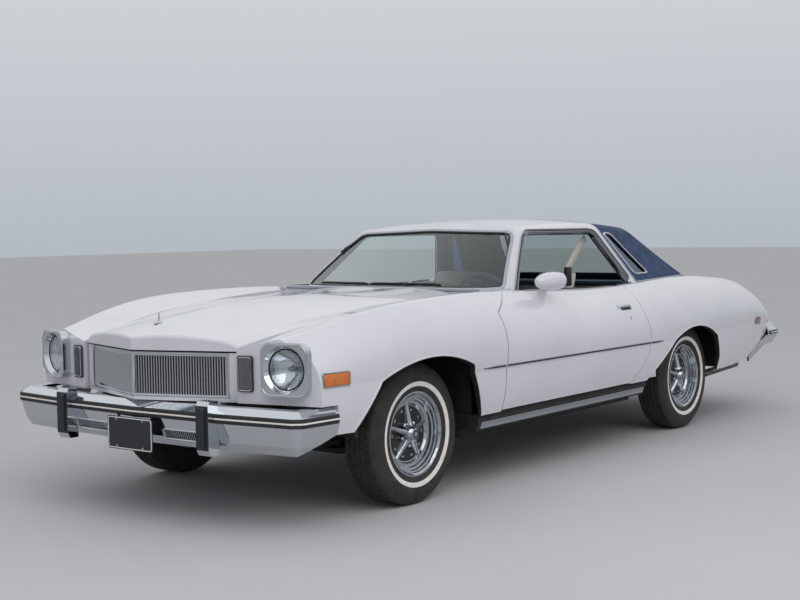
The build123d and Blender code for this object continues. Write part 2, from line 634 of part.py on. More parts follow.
def quarter_panel(skin, lining, doorway):
    """Left rear quarter: a thick wall beside the cabin, the wheel opening, and a shell beside the boot."""
    edge = [(x, between(SIDE, x, SEAM_Y) + SEAM / 2) for x in (LID_FRONT_X, -1750.0, -2150.0, -2420.0, QUARTER_REAR_X)]
    plan = [(-300.0, 1100.0), (-300.0, QUARTER_INNER_Y), (-1440.0, QUARTER_INNER_Y), (-1440.0, edge[0][1])]
    plan += edge + [(QUARTER_REAR_X, 1100.0)]
    panel = skin & plan_prism(plan, 0.0, 1100.0)
    boot = block(-1672.0, QUARTER_REAR_X + 24.0, 400.0, 1100.0, 0.0, 1100.0)
    well = block(REAR_WELL_FRONT_X, REAR_WELL_REAR_X, 400.0, 1100.0, 0.0, REAR_WELL_TOP_Z)
    panel = panel - (lining & boot) - (lining & well)
    panel = panel - arch_cut(REAR_ARCH, ARCH_CUT_Y)
    panel = panel - doorway
    panel = panel - (quarter_tail(0.0, 0.0) & block(-2000.0, -2700.0, 400.0, 1100.0, 0.0, TAIL_BOTTOM_Z))
    panel = panel - block(-200.0, -1600.0, 400.0, 759.0, BELT_Z, 1100.0) - block(-200.0, -620.0, 400.0, 1100.0, 0.0, SILL_TOP_Z)
    striker_z = 640.0
    striker = rod(-560.0, 880.0, striker_z, 9.0, 120.0, (1, 0, 0))
    striker = striker - Pos(-SEAT_CLEARANCE, 0, 0) * door_block(0.0, 700.0)
    return panel + striker.solids().sort_by(Axis.X)[0]


def tail_panel(skin, lid):
    """Rear panel across the car, with the body side's corners and a place for each tail lamp."""
    corner = skin & block(QUARTER_REAR_X - SEAT_CLEARANCE, TAIL_X, 500.0, 1100.0, TAIL_BOTTOM_Z, 1100.0)
    front = QUARTER_REAR_X - SEAT_CLEARANCE
    profile = [(front, TAIL_BOTTOM_Z), (front, TAIL_TOP_Z), (TAIL_TOP_X, TAIL_TOP_Z), (TAIL_X, TAIL_EDGE_Z),
               (TAIL_X, TAIL_BOTTOM_Z)]
    middle = side_prism(profile, -560.0, 560.0)
    panel = middle + corner + other_side(corner)
    room = side_prism([(-2500.0, 400.0), (-2500.0, 660.0), (TAIL_X + 32.0, 600.0), (TAIL_X + 32.0, 400.0)], -820.0, 820.0)
    lamp = tail_lamp(SEAT_CLEARANCE)
    panel = panel - room - lamp - other_side(lamp)
    panel = panel + block(BOOT_REAR_X - SEAT_CLEARANCE, front - 2.0, -598.0, 598.0, REAR_FLOOR_Z + 2.0, 680.0)
    rest = rod(-2446.0, 0.0, 720.0, 10.0, 200.0, (0, 0, 1)) - Pos(0, 0, -SEAT_CLEARANCE) * lid
    rest = rest.solids().sort_by(Axis.Z)[0]
    return panel + block(QUARTER_REAR_X - 2.0, -2434.0, -20.0, 20.0, 690.0, 740.0) + rest


def tail_lamp(clearance=0.0):
    """Wide lamp let into the slope of the tail, on the left, or the recess that it sits in."""
    rise = TAIL_TOP_Z - TAIL_EDGE_Z
    run = TAIL_TOP_X - TAIL_X
    place = Pos(TAIL_X + run * 0.48, 390.0, TAIL_EDGE_Z + rise * 0.48) * Rot(0, math.degrees(math.atan2(run, rise)), 0)
    width = 330.0 + 2 * clearance
    height = 92.0 + 2 * clearance
    lens = Pos(-4.0 - clearance, 0, 0) * extrude(Plane.YZ * RectangleRounded(width, height, 8.0), amount=18.0 + 2 * clearance)
    return place * lens


def lid_section(row, deeper, wider):
    x, centre, edge_y, edge_z = row
    edge_y = edge_y - SEAM / 2 + wider
    floor = 600.0
    left = (x, edge_y, edge_z - deeper)
    right = (x, -edge_y, edge_z - deeper)
    top = ThreePointArc(left, (x, 0.0, centre - deeper), right)
    return Wire([top, Line(right, (x, -edge_y, floor)), Line((x, -edge_y, floor), (x, edge_y, floor)),
                 Line((x, edge_y, floor), left)])


def trunk_lid():
    """Boot lid with a lip turned down at its rear edge."""
    outer = Solid.make_loft([lid_section(row, 0.0, 0.0) for row in LID])
    inner = Solid.make_loft([lid_section(row, LID_THICKNESS, 40.0) for row in LID])
    panel = outer & block(LID_FRONT_X, LID_REAR_X, -800.0, 800.0, LID_LIP_Z, 1100.0)
    return panel - (inner & block(LID_FRONT_X + 10.0, LID_REAR_X + LID_THICKNESS, -800.0, 800.0, 500.0, 1100.0))


def roof_section(row, inset, rise):
    x, belt_y, side_y, side_z, shoulder_y, shoulder_z, centre = row
    belt = (x, belt_y - inset, BELT_Z - rise)
    slope = (belt_y - side_y) / (side_z - BELT_Z)
    belt = (x, belt_y - inset + slope * rise, BELT_Z - rise)
    side = (x, side_y - inset, side_z)
    middle = (x, (side_y + shoulder_y) / 2 + 15.0 - inset * 0.75, (side_z + shoulder_z) / 2 + 9.0 - inset * 0.6)
    shoulder = (x, shoulder_y - inset * 0.5, shoulder_z - inset)
    top = (x, 0.0, centre - inset)
    flip = [(a, -b, c) for a, b, c in (belt, side, middle, shoulder)]
    return Wire([
        Line(belt, side),
        ThreePointArc(side, middle, shoulder),
        ThreePointArc(shoulder, top, flip[3]),
        ThreePointArc(flip[3], flip[2], flip[1]),
        Line(flip[1], flip[0]),
        Line(flip[0], belt),
    ])


def screen_space(table, moved, outwards):
    """Everything on one side of a curved screen surface, bounded far away from the car."""
    (z_low, mid_low, corner_low, y_low), (z_high, mid_high, corner_high, y_high) = table
    side = 900.0
    sections = []
    for z in (860.0, 1460.0):
        share = (z - z_low) / (z_high - z_low)
        mid = mid_low + share * (mid_high - mid_low)
        corner = corner_low + share * (corner_high - corner_low)
        y = y_low + share * (y_high - y_low)
        sag = abs(mid - corner)
        radius = (y * y + sag * sag) / (2.0 * sag)
        drop = radius - math.sqrt(radius * radius - side * side)
        end = mid - math.copysign(drop, outwards)
        far = math.copysign(2500.0, outwards)
        sections.append(Wire([
            ThreePointArc((end + moved, -side, z), (mid + moved, 0.0, z), (end + moved, side, z)),
            Line((end + moved, side, z), (far, side, z)),
            Line((far, side, z), (far, -side, z)),
            Line((far, -side, z), (end + moved, -side, z)),
        ]))
    return Solid.make_loft(sections, ruled=True)


def greenhouse(inset, front_back, rear_back):
    """Cabin above the belt as one block, or its inside."""
    rise = 0.0 if inset == 0.0 else 60.0
    cabin = Solid.make_loft([roof_section(row, inset, rise) for row in ROOF])
    cabin = cabin - screen_space(SCREEN, -front_back, 1.0)
    cabin = cabin - block(HOOD_REAR_X - SEAM - 4.0, 1200.0, -900.0, 900.0, 800.0, 1000.0)
    return cabin - screen_space(BACKLIGHT, rear_back, -1.0)


def split_prism():
    """Space behind the slanted line where the vinyl cover starts."""
    (x0, z0), (x1, z1) = ROOF_SPLIT
    slope = (x1 - x0) / (z1 - z0)
    low = (x0 - slope * (z0 - 800.0), 800.0)
    high = (x1 + slope * (1500.0 - z1), 1500.0)
    return side_prism([low, high, (-2000.0, 1500.0), (-2000.0, 800.0)], -1000.0, 1000.0)


def opening_slab(space_at, opening):
    """Glass between two screen surfaces, inside an opening."""
    return (space_at(GLASS_INSET + GLASS) - space_at(GLASS_INSET)) & opening


def cabin_top():
    """Roof with its pillars in two pieces, and the fixed glass that fills its openings."""
    outer = greenhouse(0.0, 0.0, 0.0)
    inner = greenhouse(ROOF_THICKNESS, SCREEN_WALL, BACKLIGHT_WALL)
    shell = outer - inner
    windscreen_hole = front_prism(SCREEN_OPENING, -100.0, 1100.0)
    backlight_hole = front_prism(BACKLIGHT_OPENING, -1900.0, -700.0)
    side_hole = side_prism(SIDE_OPENING, -1000.0, 1000.0)
    opera_hole = side_prism(OPERA_OPENING, 500.0, 1000.0)
    opera_both = side_prism(OPERA_OPENING, -1000.0, 1000.0)
    shell = shell - windscreen_hole - backlight_hole - side_hole - opera_both
    split = split_prism()
    front = shell - split
    rear = shell & split

    def ahead(depth):
        return screen_space(SCREEN, -depth, 1.0)

    def behind(depth):
        return screen_space(BACKLIGHT, depth, -1.0)

    windscreen = opening_slab(ahead, windscreen_hole) & outer
    backlight = opening_slab(behind, backlight_hole) & outer
    pane = Solid.make_loft([roof_section(row, GLASS_INSET, 0.0) for row in ROOF])
    pane = pane - Solid.make_loft([roof_section(row, GLASS_INSET + GLASS, 30.0) for row in ROOF])
    opera = (pane & opera_hole).solids().sort_by(Axis.Y)[-1]
    return {"roof_front": front, "vinyl_roof_rear": rear, "windscreen": windscreen, "backlight": backlight,
            "opera_windows": pair(opera)}


def cowl_panel():
    """Box below the windscreen that carries the pillars, and the strip behind the bonnet."""
    front = FIREWALL_X - 12.0
    step = HOOD_REAR_X - SEAM
    profile = [(front, 870.0), (front, 905.0), (step, 905.0), (step, BELT_Z), (470.0, BELT_Z), (470.0, 914.0),
               (700.0, 884.0), (step, 870.0)]
    low = side_prism(profile, -748.0, 748.0)
    for side in (1, -1):
        low = low - block(front + 1.0, step, side * 698.0, side * 760.0, 800.0, 1000.0)
    strip = block(HOOD_REAR_X - SEAM, 480.0, -748.0, 748.0, BELT_Z, 983.0)
    strip = strip & screen_space(SCREEN, 2.0, 1.0)
    return low + strip


def rear_shelf():
    """Parcel shelf below the backlight, and the narrow deck panel ahead of the boot lid."""
    half = QUARTER_INNER_Y - 1.0
    shelf = block(-1180.0, -1440.0, -half, half, BELT_Z - 20.0, BELT_Z)
    deck = block(-1300.0, LID_FRONT_X + SEAM, -half + 22.0, half - 22.0, BELT_Z - 20.0, 964.0)
    deck = deck & (block(-1300.0, -1600.0, -800.0, 800.0, 900.0, BELT_Z) + screen_space(BACKLIGHT, -2.0, -1.0))
    return shelf + deck


def floor_pan():
    """Cabin floor with its tunnel, firewall, raised seat pan, boot floor and the wall behind the seat."""
    half = 798.0
    top = FLOOR_Z + SHEET
    pan = block(FIREWALL_X, -800.0, -half, half, FLOOR_Z, top)
    pan = pan + block(FIREWALL_X, FIREWALL_X + SHEET, -745.0, 745.0, FLOOR_Z, BELT_Z - 60.0)
    pan = pan + block(-780.0, -800.0, -598.0, 598.0, FLOOR_Z, REAR_FLOOR_Z + SHEET)
    pan = pan + block(-780.0, BOOT_REAR_X, -598.0, 598.0, REAR_FLOOR_Z, REAR_FLOOR_Z + SHEET)
    pan = pan + block(-1330.0, -1350.0, -598.0, 598.0, REAR_FLOOR_Z, BELT_Z - 20.0)
    tunnel = Solid.make_loft([tunnel_section(FIREWALL_X + SHEET, 0.0), tunnel_section(-800.0, 0.0)], ruled=True)
    space = Solid.make_loft([tunnel_section(FIREWALL_X + 60.0, SHEET), tunnel_section(-860.0, SHEET)], ruled=True)
    return pan + tunnel - space


def tunnel_section(x, inset):
    height = 430.0 + (x + 800.0) * 0.05 - inset
    width = 120.0 + (x + 800.0) * 0.03 - inset
    low = FLOOR_Z - (30.0 if inset else 0.0)
    points = [(x, -width, low), (x, -width * 0.8, height), (x, width * 0.8, height), (x, width, low)]
    return Wire(Polyline(*points, close=True).edges())


def wheelhouses():
    """Inner walls and tops of the four wheel wells, in the order front then rear, both sides."""
    wall = 15.0
    front = block(FRONT_WELL_FRONT_X + wall, FRONT_WELL_REAR_X - wall, FRONT_WELL_INNER_Y - wall, 880.0,
                  SILL_TOP_Z + SEAT_CLEARANCE, FRONT_WELL_TOP_Z + wall)
    front = front - block(FRONT_WELL_FRONT_X, FRONT_WELL_REAR_X, FRONT_WELL_INNER_Y, 1000.0, 0.0, FRONT_WELL_TOP_Z)
    front = front - block(FRONT_AXLE_X + 160.0, FRONT_AXLE_X - 160.0, 400.0, 500.0, 300.0, KINGPIN_HIGH_Z + 30.0)
    rear = block(REAR_WELL_FRONT_X + wall, REAR_WELL_REAR_X - wall, 600.0, QUARTER_INNER_Y - SEAT_CLEARANCE,
                 FLOOR_Z + SHEET, REAR_WELL_TOP_Z + wall)
    rear = rear - block(REAR_WELL_FRONT_X, REAR_WELL_REAR_X, REAR_WELL_INNER_Y, 1000.0, 0.0, REAR_WELL_TOP_Z)
    rear = rear - block(REAR_WELL_FRONT_X, REAR_WELL_REAR_X - wall - 1.0, 590.0, 1000.0, 0.0, 516.0)
    rear = rear - block(-1440.0 + SEAT_CLEARANCE, REAR_WELL_REAR_X - wall - 1.0, 676.0, 800.0, 0.0, 900.0)
    return Compound([front, other_side(front), rear, other_side(rear)])


def frame():
    """Two box rails that pass outside the cabin and kick up over the axle, with cross-members."""
    sections = []
    for x, y, z in RAIL:
        w = RAIL_WIDTH / 2
        h = RAIL_HEIGHT / 2
        points = [(x, y - w, z - h), (x, y + w, z - h), (x, y + w, z + h), (x, y - w, z + h)]
        sections.append(Wire(Polyline(*points, close=True).edges()))
    rail = Solid.make_loft(sections, ruled=True)
    members = [block(340.0, 260.0, -620.0, 620.0, 235.0, 290.0), block(-540.0, -600.0, -620.0, 620.0, 235.0, 290.0),
               block(-1800.0, -1860.0, -500.0, 500.0, 450.0, 510.0), block(2420.0, 2360.0, -380.0, 380.0, 470.0, 530.0)]
    return rail + other_side(rail) + members


def engine():
    """Engine as a plain block, with a mount on each side that rests against the frame."""
    body = block(1960.0, 1260.0, -280.0, 280.0, 330.0, 790.0)
    mounts = [block(1500.0, 1400.0, side * 280.0, side * 365.0, 332.0, 368.0) for side in (1, -1)]
    return body + mounts


def gearbox():
    sections = []
    for x, half, z in ((1259.0, 140.0, 420.0), (1070.0, 115.0, 385.0), (950.0, 90.0, 360.0), (480.0, 70.0, 342.0)):
        points = [(x, -half, z - half), (x, half, z - half), (x, half, z + half), (x, -half, z + half)]
        sections.append(Wire(Polyline(*points, close=True).edges()))
    return Solid.make_loft(sections, ruled=True)


def front_suspension():
    """Cross-member below the frame, with an upper and a lower arm out to each kingpin."""
    member = block(FRONT_AXLE_X + 70.0, FRONT_AXLE_X - 70.0, -450.0, 450.0, 215.0, 285.0)
    parts = []
    for z in (KINGPIN_LOW_Z + 4.0, KINGPIN_HIGH_Z - 4.0 - ARM_THICKNESS):
        plan = [(FRONT_AXLE_X - 130.0, 400.0), (FRONT_AXLE_X - 24.0, KINGPIN_Y), (FRONT_AXLE_X + 24.0, KINGPIN_Y),
                (FRONT_AXLE_X + 130.0, 400.0)]
        arm = plan_prism(plan, z, z + ARM_THICKNESS)
        arm = arm - plan_prism([(FRONT_AXLE_X - 50.0, 440.0), (FRONT_AXLE_X, 560.0), (FRONT_AXLE_X + 50.0, 440.0)],
                               z - 1.0, z + ARM_THICKNESS + 1.0)
        arm = arm + rod(FRONT_AXLE_X, KINGPIN_Y, z, 24.0, ARM_THICKNESS, (0, 0, 1))
        parts.append(arm - rod(FRONT_AXLE_X, KINGPIN_Y, z - 1.0, KINGPIN_R + SEAT_CLEARANCE, ARM_THICKNESS + 2.0, (0, 0, 1)))
    tower = block(FRONT_AXLE_X + 140.0, FRONT_AXLE_X - 140.0, 366.0, 434.0, 375.0, KINGPIN_HIGH_Z + 10.0)
    left = [parts[0], parts[1] + tower]
    shape = member + left[0] + other_side(left[0])
    return Compound([shape, left[1], other_side(left[1])])


def knuckle():
    """Left steering knuckle: kingpin, carrier and spindle."""
    low = KINGPIN_LOW_Z + 4.0 + ARM_THICKNESS + SEAT_CLEARANCE
    high = KINGPIN_HIGH_Z - 4.0 - ARM_THICKNESS - SEAT_CLEARANCE
    pin = rod(FRONT_AXLE_X, KINGPIN_Y, KINGPIN_LOW_Z, KINGPIN_R, KINGPIN_HIGH_Z - KINGPIN_LOW_Z, (0, 0, 1))
    carrier = block(FRONT_AXLE_X + 26.0, FRONT_AXLE_X - 26.0, KINGPIN_Y - 22.0, KINGPIN_Y + 22.0, low, high)
    reach = FRONT_WHEEL_Y + SPINDLE_REACH - KINGPIN_Y
    spindle = rod(FRONT_AXLE_X, KINGPIN_Y, TYRE_R, HUB_BORE_R - SEAT_CLEARANCE, reach, (0, 1, 0))
    arm = block(FRONT_AXLE_X - 20.0, FRONT_AXLE_X - 150.0, KINGPIN_Y - 20.0, KINGPIN_Y, 268.0, 288.0)
    return pin + carrier + spindle + arm


def rear_axle():
    """Rear axle: tube with its differential, brake drums, stub shafts, spring seats and trailing arms."""
    x = REAR_AXLE_X
    z = TYRE_R
    tube = rod(x, -700.0, z, 40.0, 1400.0, (0, 1, 0))
    bowl = Pos(x, 0, z) * Sphere(128.0)
    nose = extrude(Plane((x, 0, z), z_dir=(1, 0, 0)) * Circle(90.0), amount=190.0, taper=10.0)
    shape = tube + bowl + nose
    for side in (1, -1):
        shape = shape + rod(x, side * 650.0, z, 138.0, 62.0, (0, side, 0))
        shape = shape + rod(x, side * 700.0, z, HUB_BORE_R - SEAT_CLEARANCE, REAR_WHEEL_Y + SPINDLE_REACH - 700.0, (0, side, 0))
        shape = shape + rod(x, side * 520.0, z, 52.0, 425.0 - z, (0, 0, 1))
        shape = shape + block(x, -600.0, side * 500.0, side * 540.0, 248.0, 288.0)
        shape = shape + block(x + 30.0, x - 30.0, side * 500.0, side * 540.0, 248.0, z)
    return shape


def propshaft():
    start = 480.0
    end = REAR_AXLE_X + 190.0
    return rod(end, 0.0, TYRE_R, 38.0, start - end, (1, 0, 0))


def exhaust():
    """Pipe from the engine to a silencer, below the axle, and out behind the left wheel."""
    z = 205.0
    points = [(1300.0, 180.0, 300.0), (1180.0, 180.0, z), (-1500.0, 300.0, z), (-1750.0, 620.0, 250.0), (-2480.0, 640.0, 290.0)]
    path = FilletPolyline(*points, radius=90.0)
    pipe = sweep(Plane(path @ 0, z_dir=path % 0) * Circle(25.0), path=path)
    muffler = extrude(Plane((-60.0, 242.0, 225.0), x_dir=(0, 1, 0), z_dir=(-1, 0, 0)) * RectangleRounded(210.0, 100.0, 44.0), amount=440.0)
    hanger = block(-560.0, -580.0, 240.0, 260.0, z, 235.0)
    return pipe + muffler + hanger


def fuel_tank():
    shape = block(-1900.0, -2440.0, -420.0, 420.0, 300.0, REAR_FLOOR_Z)
    return fillet(shape.edges().filter_by(Axis.X), 30.0)


def sill():
    """Left sill below the door."""
    profile = [(799.0, SILL_TOP_Z), (926.0, SILL_TOP_Z), (940.0, 350.0), (926.0, SILL_BOTTOM_Z), (799.0, SILL_BOTTOM_Z)]
    return front_prism(profile, -510.0, 1225.0)


def dashboard():
    profile = [(FIREWALL_X, 858.0), (700.0, 878.0), (468.0, 908.0), (430.0, 870.0), (500.0, 640.0), (620.0, 600.0),
               (FIREWALL_X, 600.0)]
    return side_prism(profile, -740.0, 740.0)


def steering_wheel():
    """Steering wheel with three spokes on its column."""
    place = Pos(330.0, STEERING_Y, 880.0) * Rot(0, -62.0, 0)
    rim = Torus(STEERING_RIM_R, 13.0)
    hub = Cylinder(46.0, 44.0)
    spokes = [Rot(0, 0, angle) * (Pos(100.0, 0, 0) * Box(170.0, 30.0, 12.0)) for angle in (0.0, 120.0, 240.0)]
    column = Pos(0, 0, -110.0) * Cylinder(30.0, 190.0)
    return place * (rim + hub + spokes + column)


def front_seat():
    """Left front seat: pedestal, cushion, raked back and head rest."""
    y = 392.0
    half = 250.0
    cushion = fillet(block(300.0, -260.0, y - half, y + half, 430.0, 580.0).edges(), 36.0)
    pedestal = block(240.0, -200.0, y - half + 62.0, y + half - 50.0, FLOOR_Z + SHEET, 450.0)
    back = side_prism([(-150.0, 500.0), (-270.0, 470.0), (-448.0, 915.0), (-328.0, 945.0)], y - half, y + half)
    back = fillet(back.edges().filter_by(Axis.Y), 30.0)
    rest = side_prism([(-352.0, 930.0), (-436.0, 906.0), (-476.0, 1010.0), (-386.0, 1034.0)], y - 130.0, y + 130.0)
    rest = fillet(rest.edges().filter_by(Axis.Y), 26.0)
    return pedestal + cushion + back + rest


def rear_seat():
    """Rear bench."""
    cushion = block(-830.0, -1320.0, -590.0, 590.0, REAR_FLOOR_Z + SHEET, 680.0)
    back = side_prism([(-1190.0, 640.0), (-1329.0, 640.0), (-1329.0, 915.0), (-1270.0, 915.0)], -590.0, 590.0)
    return fillet(cushion.edges().filter_by(Axis.Y), 30.0) + back


def mirror_head():
    """Round-backed door mirror on a short stalk."""
    profile = Wire([
        Line((408.0, 0, 0), (408.0, 46.0, 0)),
        Line((408.0, 46.0, 0), (430.0, 50.0, 0)),
        ThreePointArc((430.0, 50.0, 0), (560.0, 36.0, 0), (640.0, 0, 0)),
        Line((640.0, 0, 0), (408.0, 0, 0)),
    ])
    head = Pos(0, 918.0, 1018.0) * revolve(Face(profile), axis=Axis.X)
    stalk = side_prism([(600.0, 900.0), (520.0, 900.0), (500.0, 1010.0), (560.0, 1010.0)], 858.0, 896.0)
    return head, stalk


def tyre(x, y):
    """Tyre around its wheel, with its tread left smooth and its sides in straight runs."""
    side = [(BEAD_HALF_WIDTH, RIM_BEAD_R + SEAT_CLEARANCE), (BEAD_HALF_WIDTH, RIM_LIP_R), (TYRE_HALF_WIDTH, TYRE_SIDE_R),
            (TREAD_HALF_WIDTH + SHOULDER_DROP, TYRE_R - SHOULDER_DROP), (TREAD_HALF_WIDTH, TYRE_R)]
    outline = Polyline(*side, *[(-along, radius) for along, radius in reversed(side)], close=True)
    return Pos(x, y, TYRE_R) * Rot(0, 0, 90) * revolve(make_face(outline), axis=Axis.X)


def wheel(x, y):
    """Left wheel: rim, dished disc with five spokes, hub and cap. Its outer face is towards +Y."""
    w = RIM_HALF_WIDTH
    t = RIM_WALL
    lip = RIM_LIP_R
    bead = RIM_BEAD_R
    well = RIM_WELL_R
    points = [(-w, lip), (-w + t, lip), (-w + t, bead), (-w + 34.0, bead), (-w + 48.0, well), (w - 60.0, well),
              (w - 46.0, bead), (w - t, bead), (w - t, lip), (w, lip), (w, bead - t), (w - 42.0, bead - t),
              (w - 57.0, well - t), (-w + 45.0, well - t), (-w + 31.0, bead - t), (-w, bead - t)]
    rim = revolve(make_face(Polyline(*points, close=True)), axis=Axis.X)
    disc_r = well - t / 2
    disc = rod(DISC_OUT, 0, 0, disc_r, DISC_THICKNESS, (1, 0, 0))
    shape = rim + disc
    face = DISC_OUT + DISC_THICKNESS
    for index in range(SPOKE_COUNT):
        plan = Polyline((face, -SPOKE_HUB_WIDTH / 2, 40.0), (face, SPOKE_HUB_WIDTH / 2, 40.0),
                        (face, SPOKE_RIM_WIDTH / 2, disc_r - 2.0), (face, -SPOKE_RIM_WIDTH / 2, disc_r - 2.0), close=True)
        spoke = extrude(make_face(plan), amount=SPOKE_RISE, dir=(1, 0, 0), taper=SPOKE_TAPER)
        hole = rod(DISC_OUT - 1.0, 0, DISC_HOLE_PLACE_R, DISC_HOLE_R, DISC_THICKNESS + 2.0, (1, 0, 0))
        shape = shape + Rot(360.0 * index / SPOKE_COUNT, 0, 0) * spoke
        shape = shape - Rot(360.0 * (index + 0.5) / SPOKE_COUNT, 0, 0) * hole
    shape = shape + rod(DISC_OUT - HUB_DEPTH, 0, 0, HUB_R, HUB_DEPTH, (1, 0, 0))
    shape = shape + rod(face, 0, 0, CAP_R, CAP_HEIGHT, (1, 0, 0))
    bore = rod(DISC_OUT - HUB_DEPTH - 1.0, 0, 0, HUB_BORE_R, HUB_DEPTH + DISC_THICKNESS + 12.0, (1, 0, 0))
    return Pos(x, y, TYRE_R) * Rot(0, 0, 90) * (shape - bore)


def build():
    skin = side_body()
    lining = side_body(PANEL_WALL, 60.0)
    doorway = door_block(DOOR_GAP, 690.0)
    bonnet = hood()
    lid = trunk_lid()
    door = (skin & door_block(0.0, DOOR_INNER_Y)).solids().sort_by(lambda s: s.volume)[-1]
    head, stalk = mirror_head()
    stalk = stalk - Pos(0, 0, SEAT_CLEARANCE) * door
    mirror_shape = head + stalk.solids().sort_by(Axis.Z)[-1]
    parts = {
        "front_fenders": pair(front_fender(skin, lining, doorway)),
        "hood": bonnet,
        "nose_panel": nose_panel(bonnet),
        "grille": grille(),
        "headlamp_bezels": pair(headlamp_bezel()),
        "headlamps": pair(headlamp()),
        "parking_lamps": pair(parking_lamp()),
        "front_bumper": front_bumper(),
        "number_plate": number_plate(),
        "rear_bumper": rear_bumper(),
        "bumper_guards": bumper_guards(),
        "quarter_panels": pair(quarter_panel(skin, lining, doorway)),
        "tail_panel": tail_panel(skin, lid),
        "tail_lamps": pair(tail_lamp()),
        "trunk_lid": lid,
        "door_left": door,
        "door_right": other_side(door),
        "door_mirror": mirror_shape,
        "cowl_panel": cowl_panel(),
        "rear_shelf": rear_shelf(),
        "floor_pan": floor_pan(),
        "wheelhouses": wheelhouses(),
        "frame": frame(),
        "engine": engine(),
        "gearbox": gearbox(),
        "front_suspension": front_suspension(),
        "knuckle_left": knuckle(),
        "knuckle_right": other_side(knuckle()),
        "rear_axle": rear_axle(),
        "propshaft": propshaft(),
        "exhaust": exhaust(),
        "fuel_tank": fuel_tank(),
        "sills": pair(sill()),
        "dashboard": dashboard(),
        "steering_wheel": steering_wheel() - dashboard(),
        "front_seats": pair(front_seat()),
        "rear_seat": rear_seat(),
    }
    parts.update(cabin_top())
    for name, x, y in (("front", FRONT_AXLE_X, FRONT_WHEEL_Y), ("rear", REAR_AXLE_X, REAR_WHEEL_Y)):
        left_wheel = wheel(x, y)
        left_tyre = tyre(x, y)
        parts[f"wheel_{name}_left"] = left_wheel
        parts[f"tyre_{name}_left"] = left_tyre
        parts[f"wheel_{name}_right"] = other_side(left_wheel)
        parts[f"tyre_{name}_right"] = other_side(left_tyre)
    return parts


os.makedirs("parts", exist_ok=True)
for node, shape in build().items():
    export_step(shape, f"parts/{node}.step")
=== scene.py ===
"""Finishes and fine pieces of a two-door notchback coupe of the middle 1970s, in metres.

X points forward, Y to the car's left and Z up. The origin is on the ground, below the middle of the car.
"""

import math

import bmesh
import bpy
import numpy as np
from mathutils import Matrix, Vector
from mathutils.bvhtree import BVHTree


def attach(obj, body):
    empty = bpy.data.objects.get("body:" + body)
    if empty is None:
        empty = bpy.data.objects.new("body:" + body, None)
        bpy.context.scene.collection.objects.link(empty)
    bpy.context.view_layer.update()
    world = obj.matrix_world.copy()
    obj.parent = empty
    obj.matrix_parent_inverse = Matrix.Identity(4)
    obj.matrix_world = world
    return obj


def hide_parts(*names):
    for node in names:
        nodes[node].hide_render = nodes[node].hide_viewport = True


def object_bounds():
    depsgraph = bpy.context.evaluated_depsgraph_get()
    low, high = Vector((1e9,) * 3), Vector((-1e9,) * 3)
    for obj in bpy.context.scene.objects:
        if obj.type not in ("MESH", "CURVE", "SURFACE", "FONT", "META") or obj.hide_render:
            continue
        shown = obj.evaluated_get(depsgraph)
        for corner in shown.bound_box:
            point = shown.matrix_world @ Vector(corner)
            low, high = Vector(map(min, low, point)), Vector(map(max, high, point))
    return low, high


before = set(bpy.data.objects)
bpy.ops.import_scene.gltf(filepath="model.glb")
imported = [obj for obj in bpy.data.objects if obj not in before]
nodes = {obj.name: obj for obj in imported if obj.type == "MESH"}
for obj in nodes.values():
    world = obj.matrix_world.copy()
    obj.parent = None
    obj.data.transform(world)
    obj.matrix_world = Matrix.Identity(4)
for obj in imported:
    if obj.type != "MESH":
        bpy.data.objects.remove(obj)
cad_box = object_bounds()

WHEEL_PLACES = {"front_left": (1.640, 0.781), "front_right": (1.640, -0.781), "rear_left": (-1.205, 0.771),
                "rear_right": (-1.205, -0.771)}
AXLE_Z = 0.338
NOSE_SWEEP = 0.321
LAMP_SWEEP = 0.21
BESIDE = 1.3


# Numbers to shapes. A shell is a pair: an array of points and a list of faces.

def grid(points, wrap_rows=False, wrap_columns=False):
    """Skin over an array of points: each cell of the array is one face, and a wrapped side joins its last
    line to its first."""
    rows, columns = points.shape[:2]
    index = np.arange(rows * columns).reshape(rows, columns)
    if wrap_rows:
        index = np.vstack([index, index[:1]])
    if wrap_columns:
        index = np.hstack([index, index[:, :1]])
    faces = np.stack([index[:-1, :-1], index[1:, :-1], index[1:, 1:], index[:-1, 1:]], axis=-1)
    return points.reshape(-1, 3), faces.reshape(-1, 4).tolist()


def carry(profile, path, up=(0, 0, 1), closed=False, scale=None):
    """Closed profile carried along a path, with flat ends if it is open. Its first number goes along the side
    direction, the cross product of the path's tangent and up, and its second square to both."""
    path = np.asarray(path, float)
    profile = np.asarray(profile, float)
    if closed:
        tangent = np.roll(path, -1, axis=0) - np.roll(path, 1, axis=0)
    else:
        tangent = np.gradient(path, axis=0)
    tangent = tangent / np.linalg.norm(tangent, axis=1, keepdims=True)
    up = np.broadcast_to(np.asarray(up, float), path.shape)
    side = np.cross(tangent, up)
    side = side / np.linalg.norm(side, axis=1, keepdims=True)
    rise = np.cross(side, tangent)
    size = np.ones((len(path), 1, 1)) if scale is None else np.asarray(scale, float).reshape(-1, 1, 1)
    offset = side[:, None, :] * profile[None, :, :1] + rise[:, None, :] * profile[None, :, 1:]
    points, faces = grid(path[:, None, :] + offset * size, wrap_rows=closed, wrap_columns=True)
    if not closed:
        count = len(profile)
        last = len(points) - count
        faces.append(list(range(count - 1, -1, -1)))
        faces.append(list(range(last, last + count)))
    return points, faces


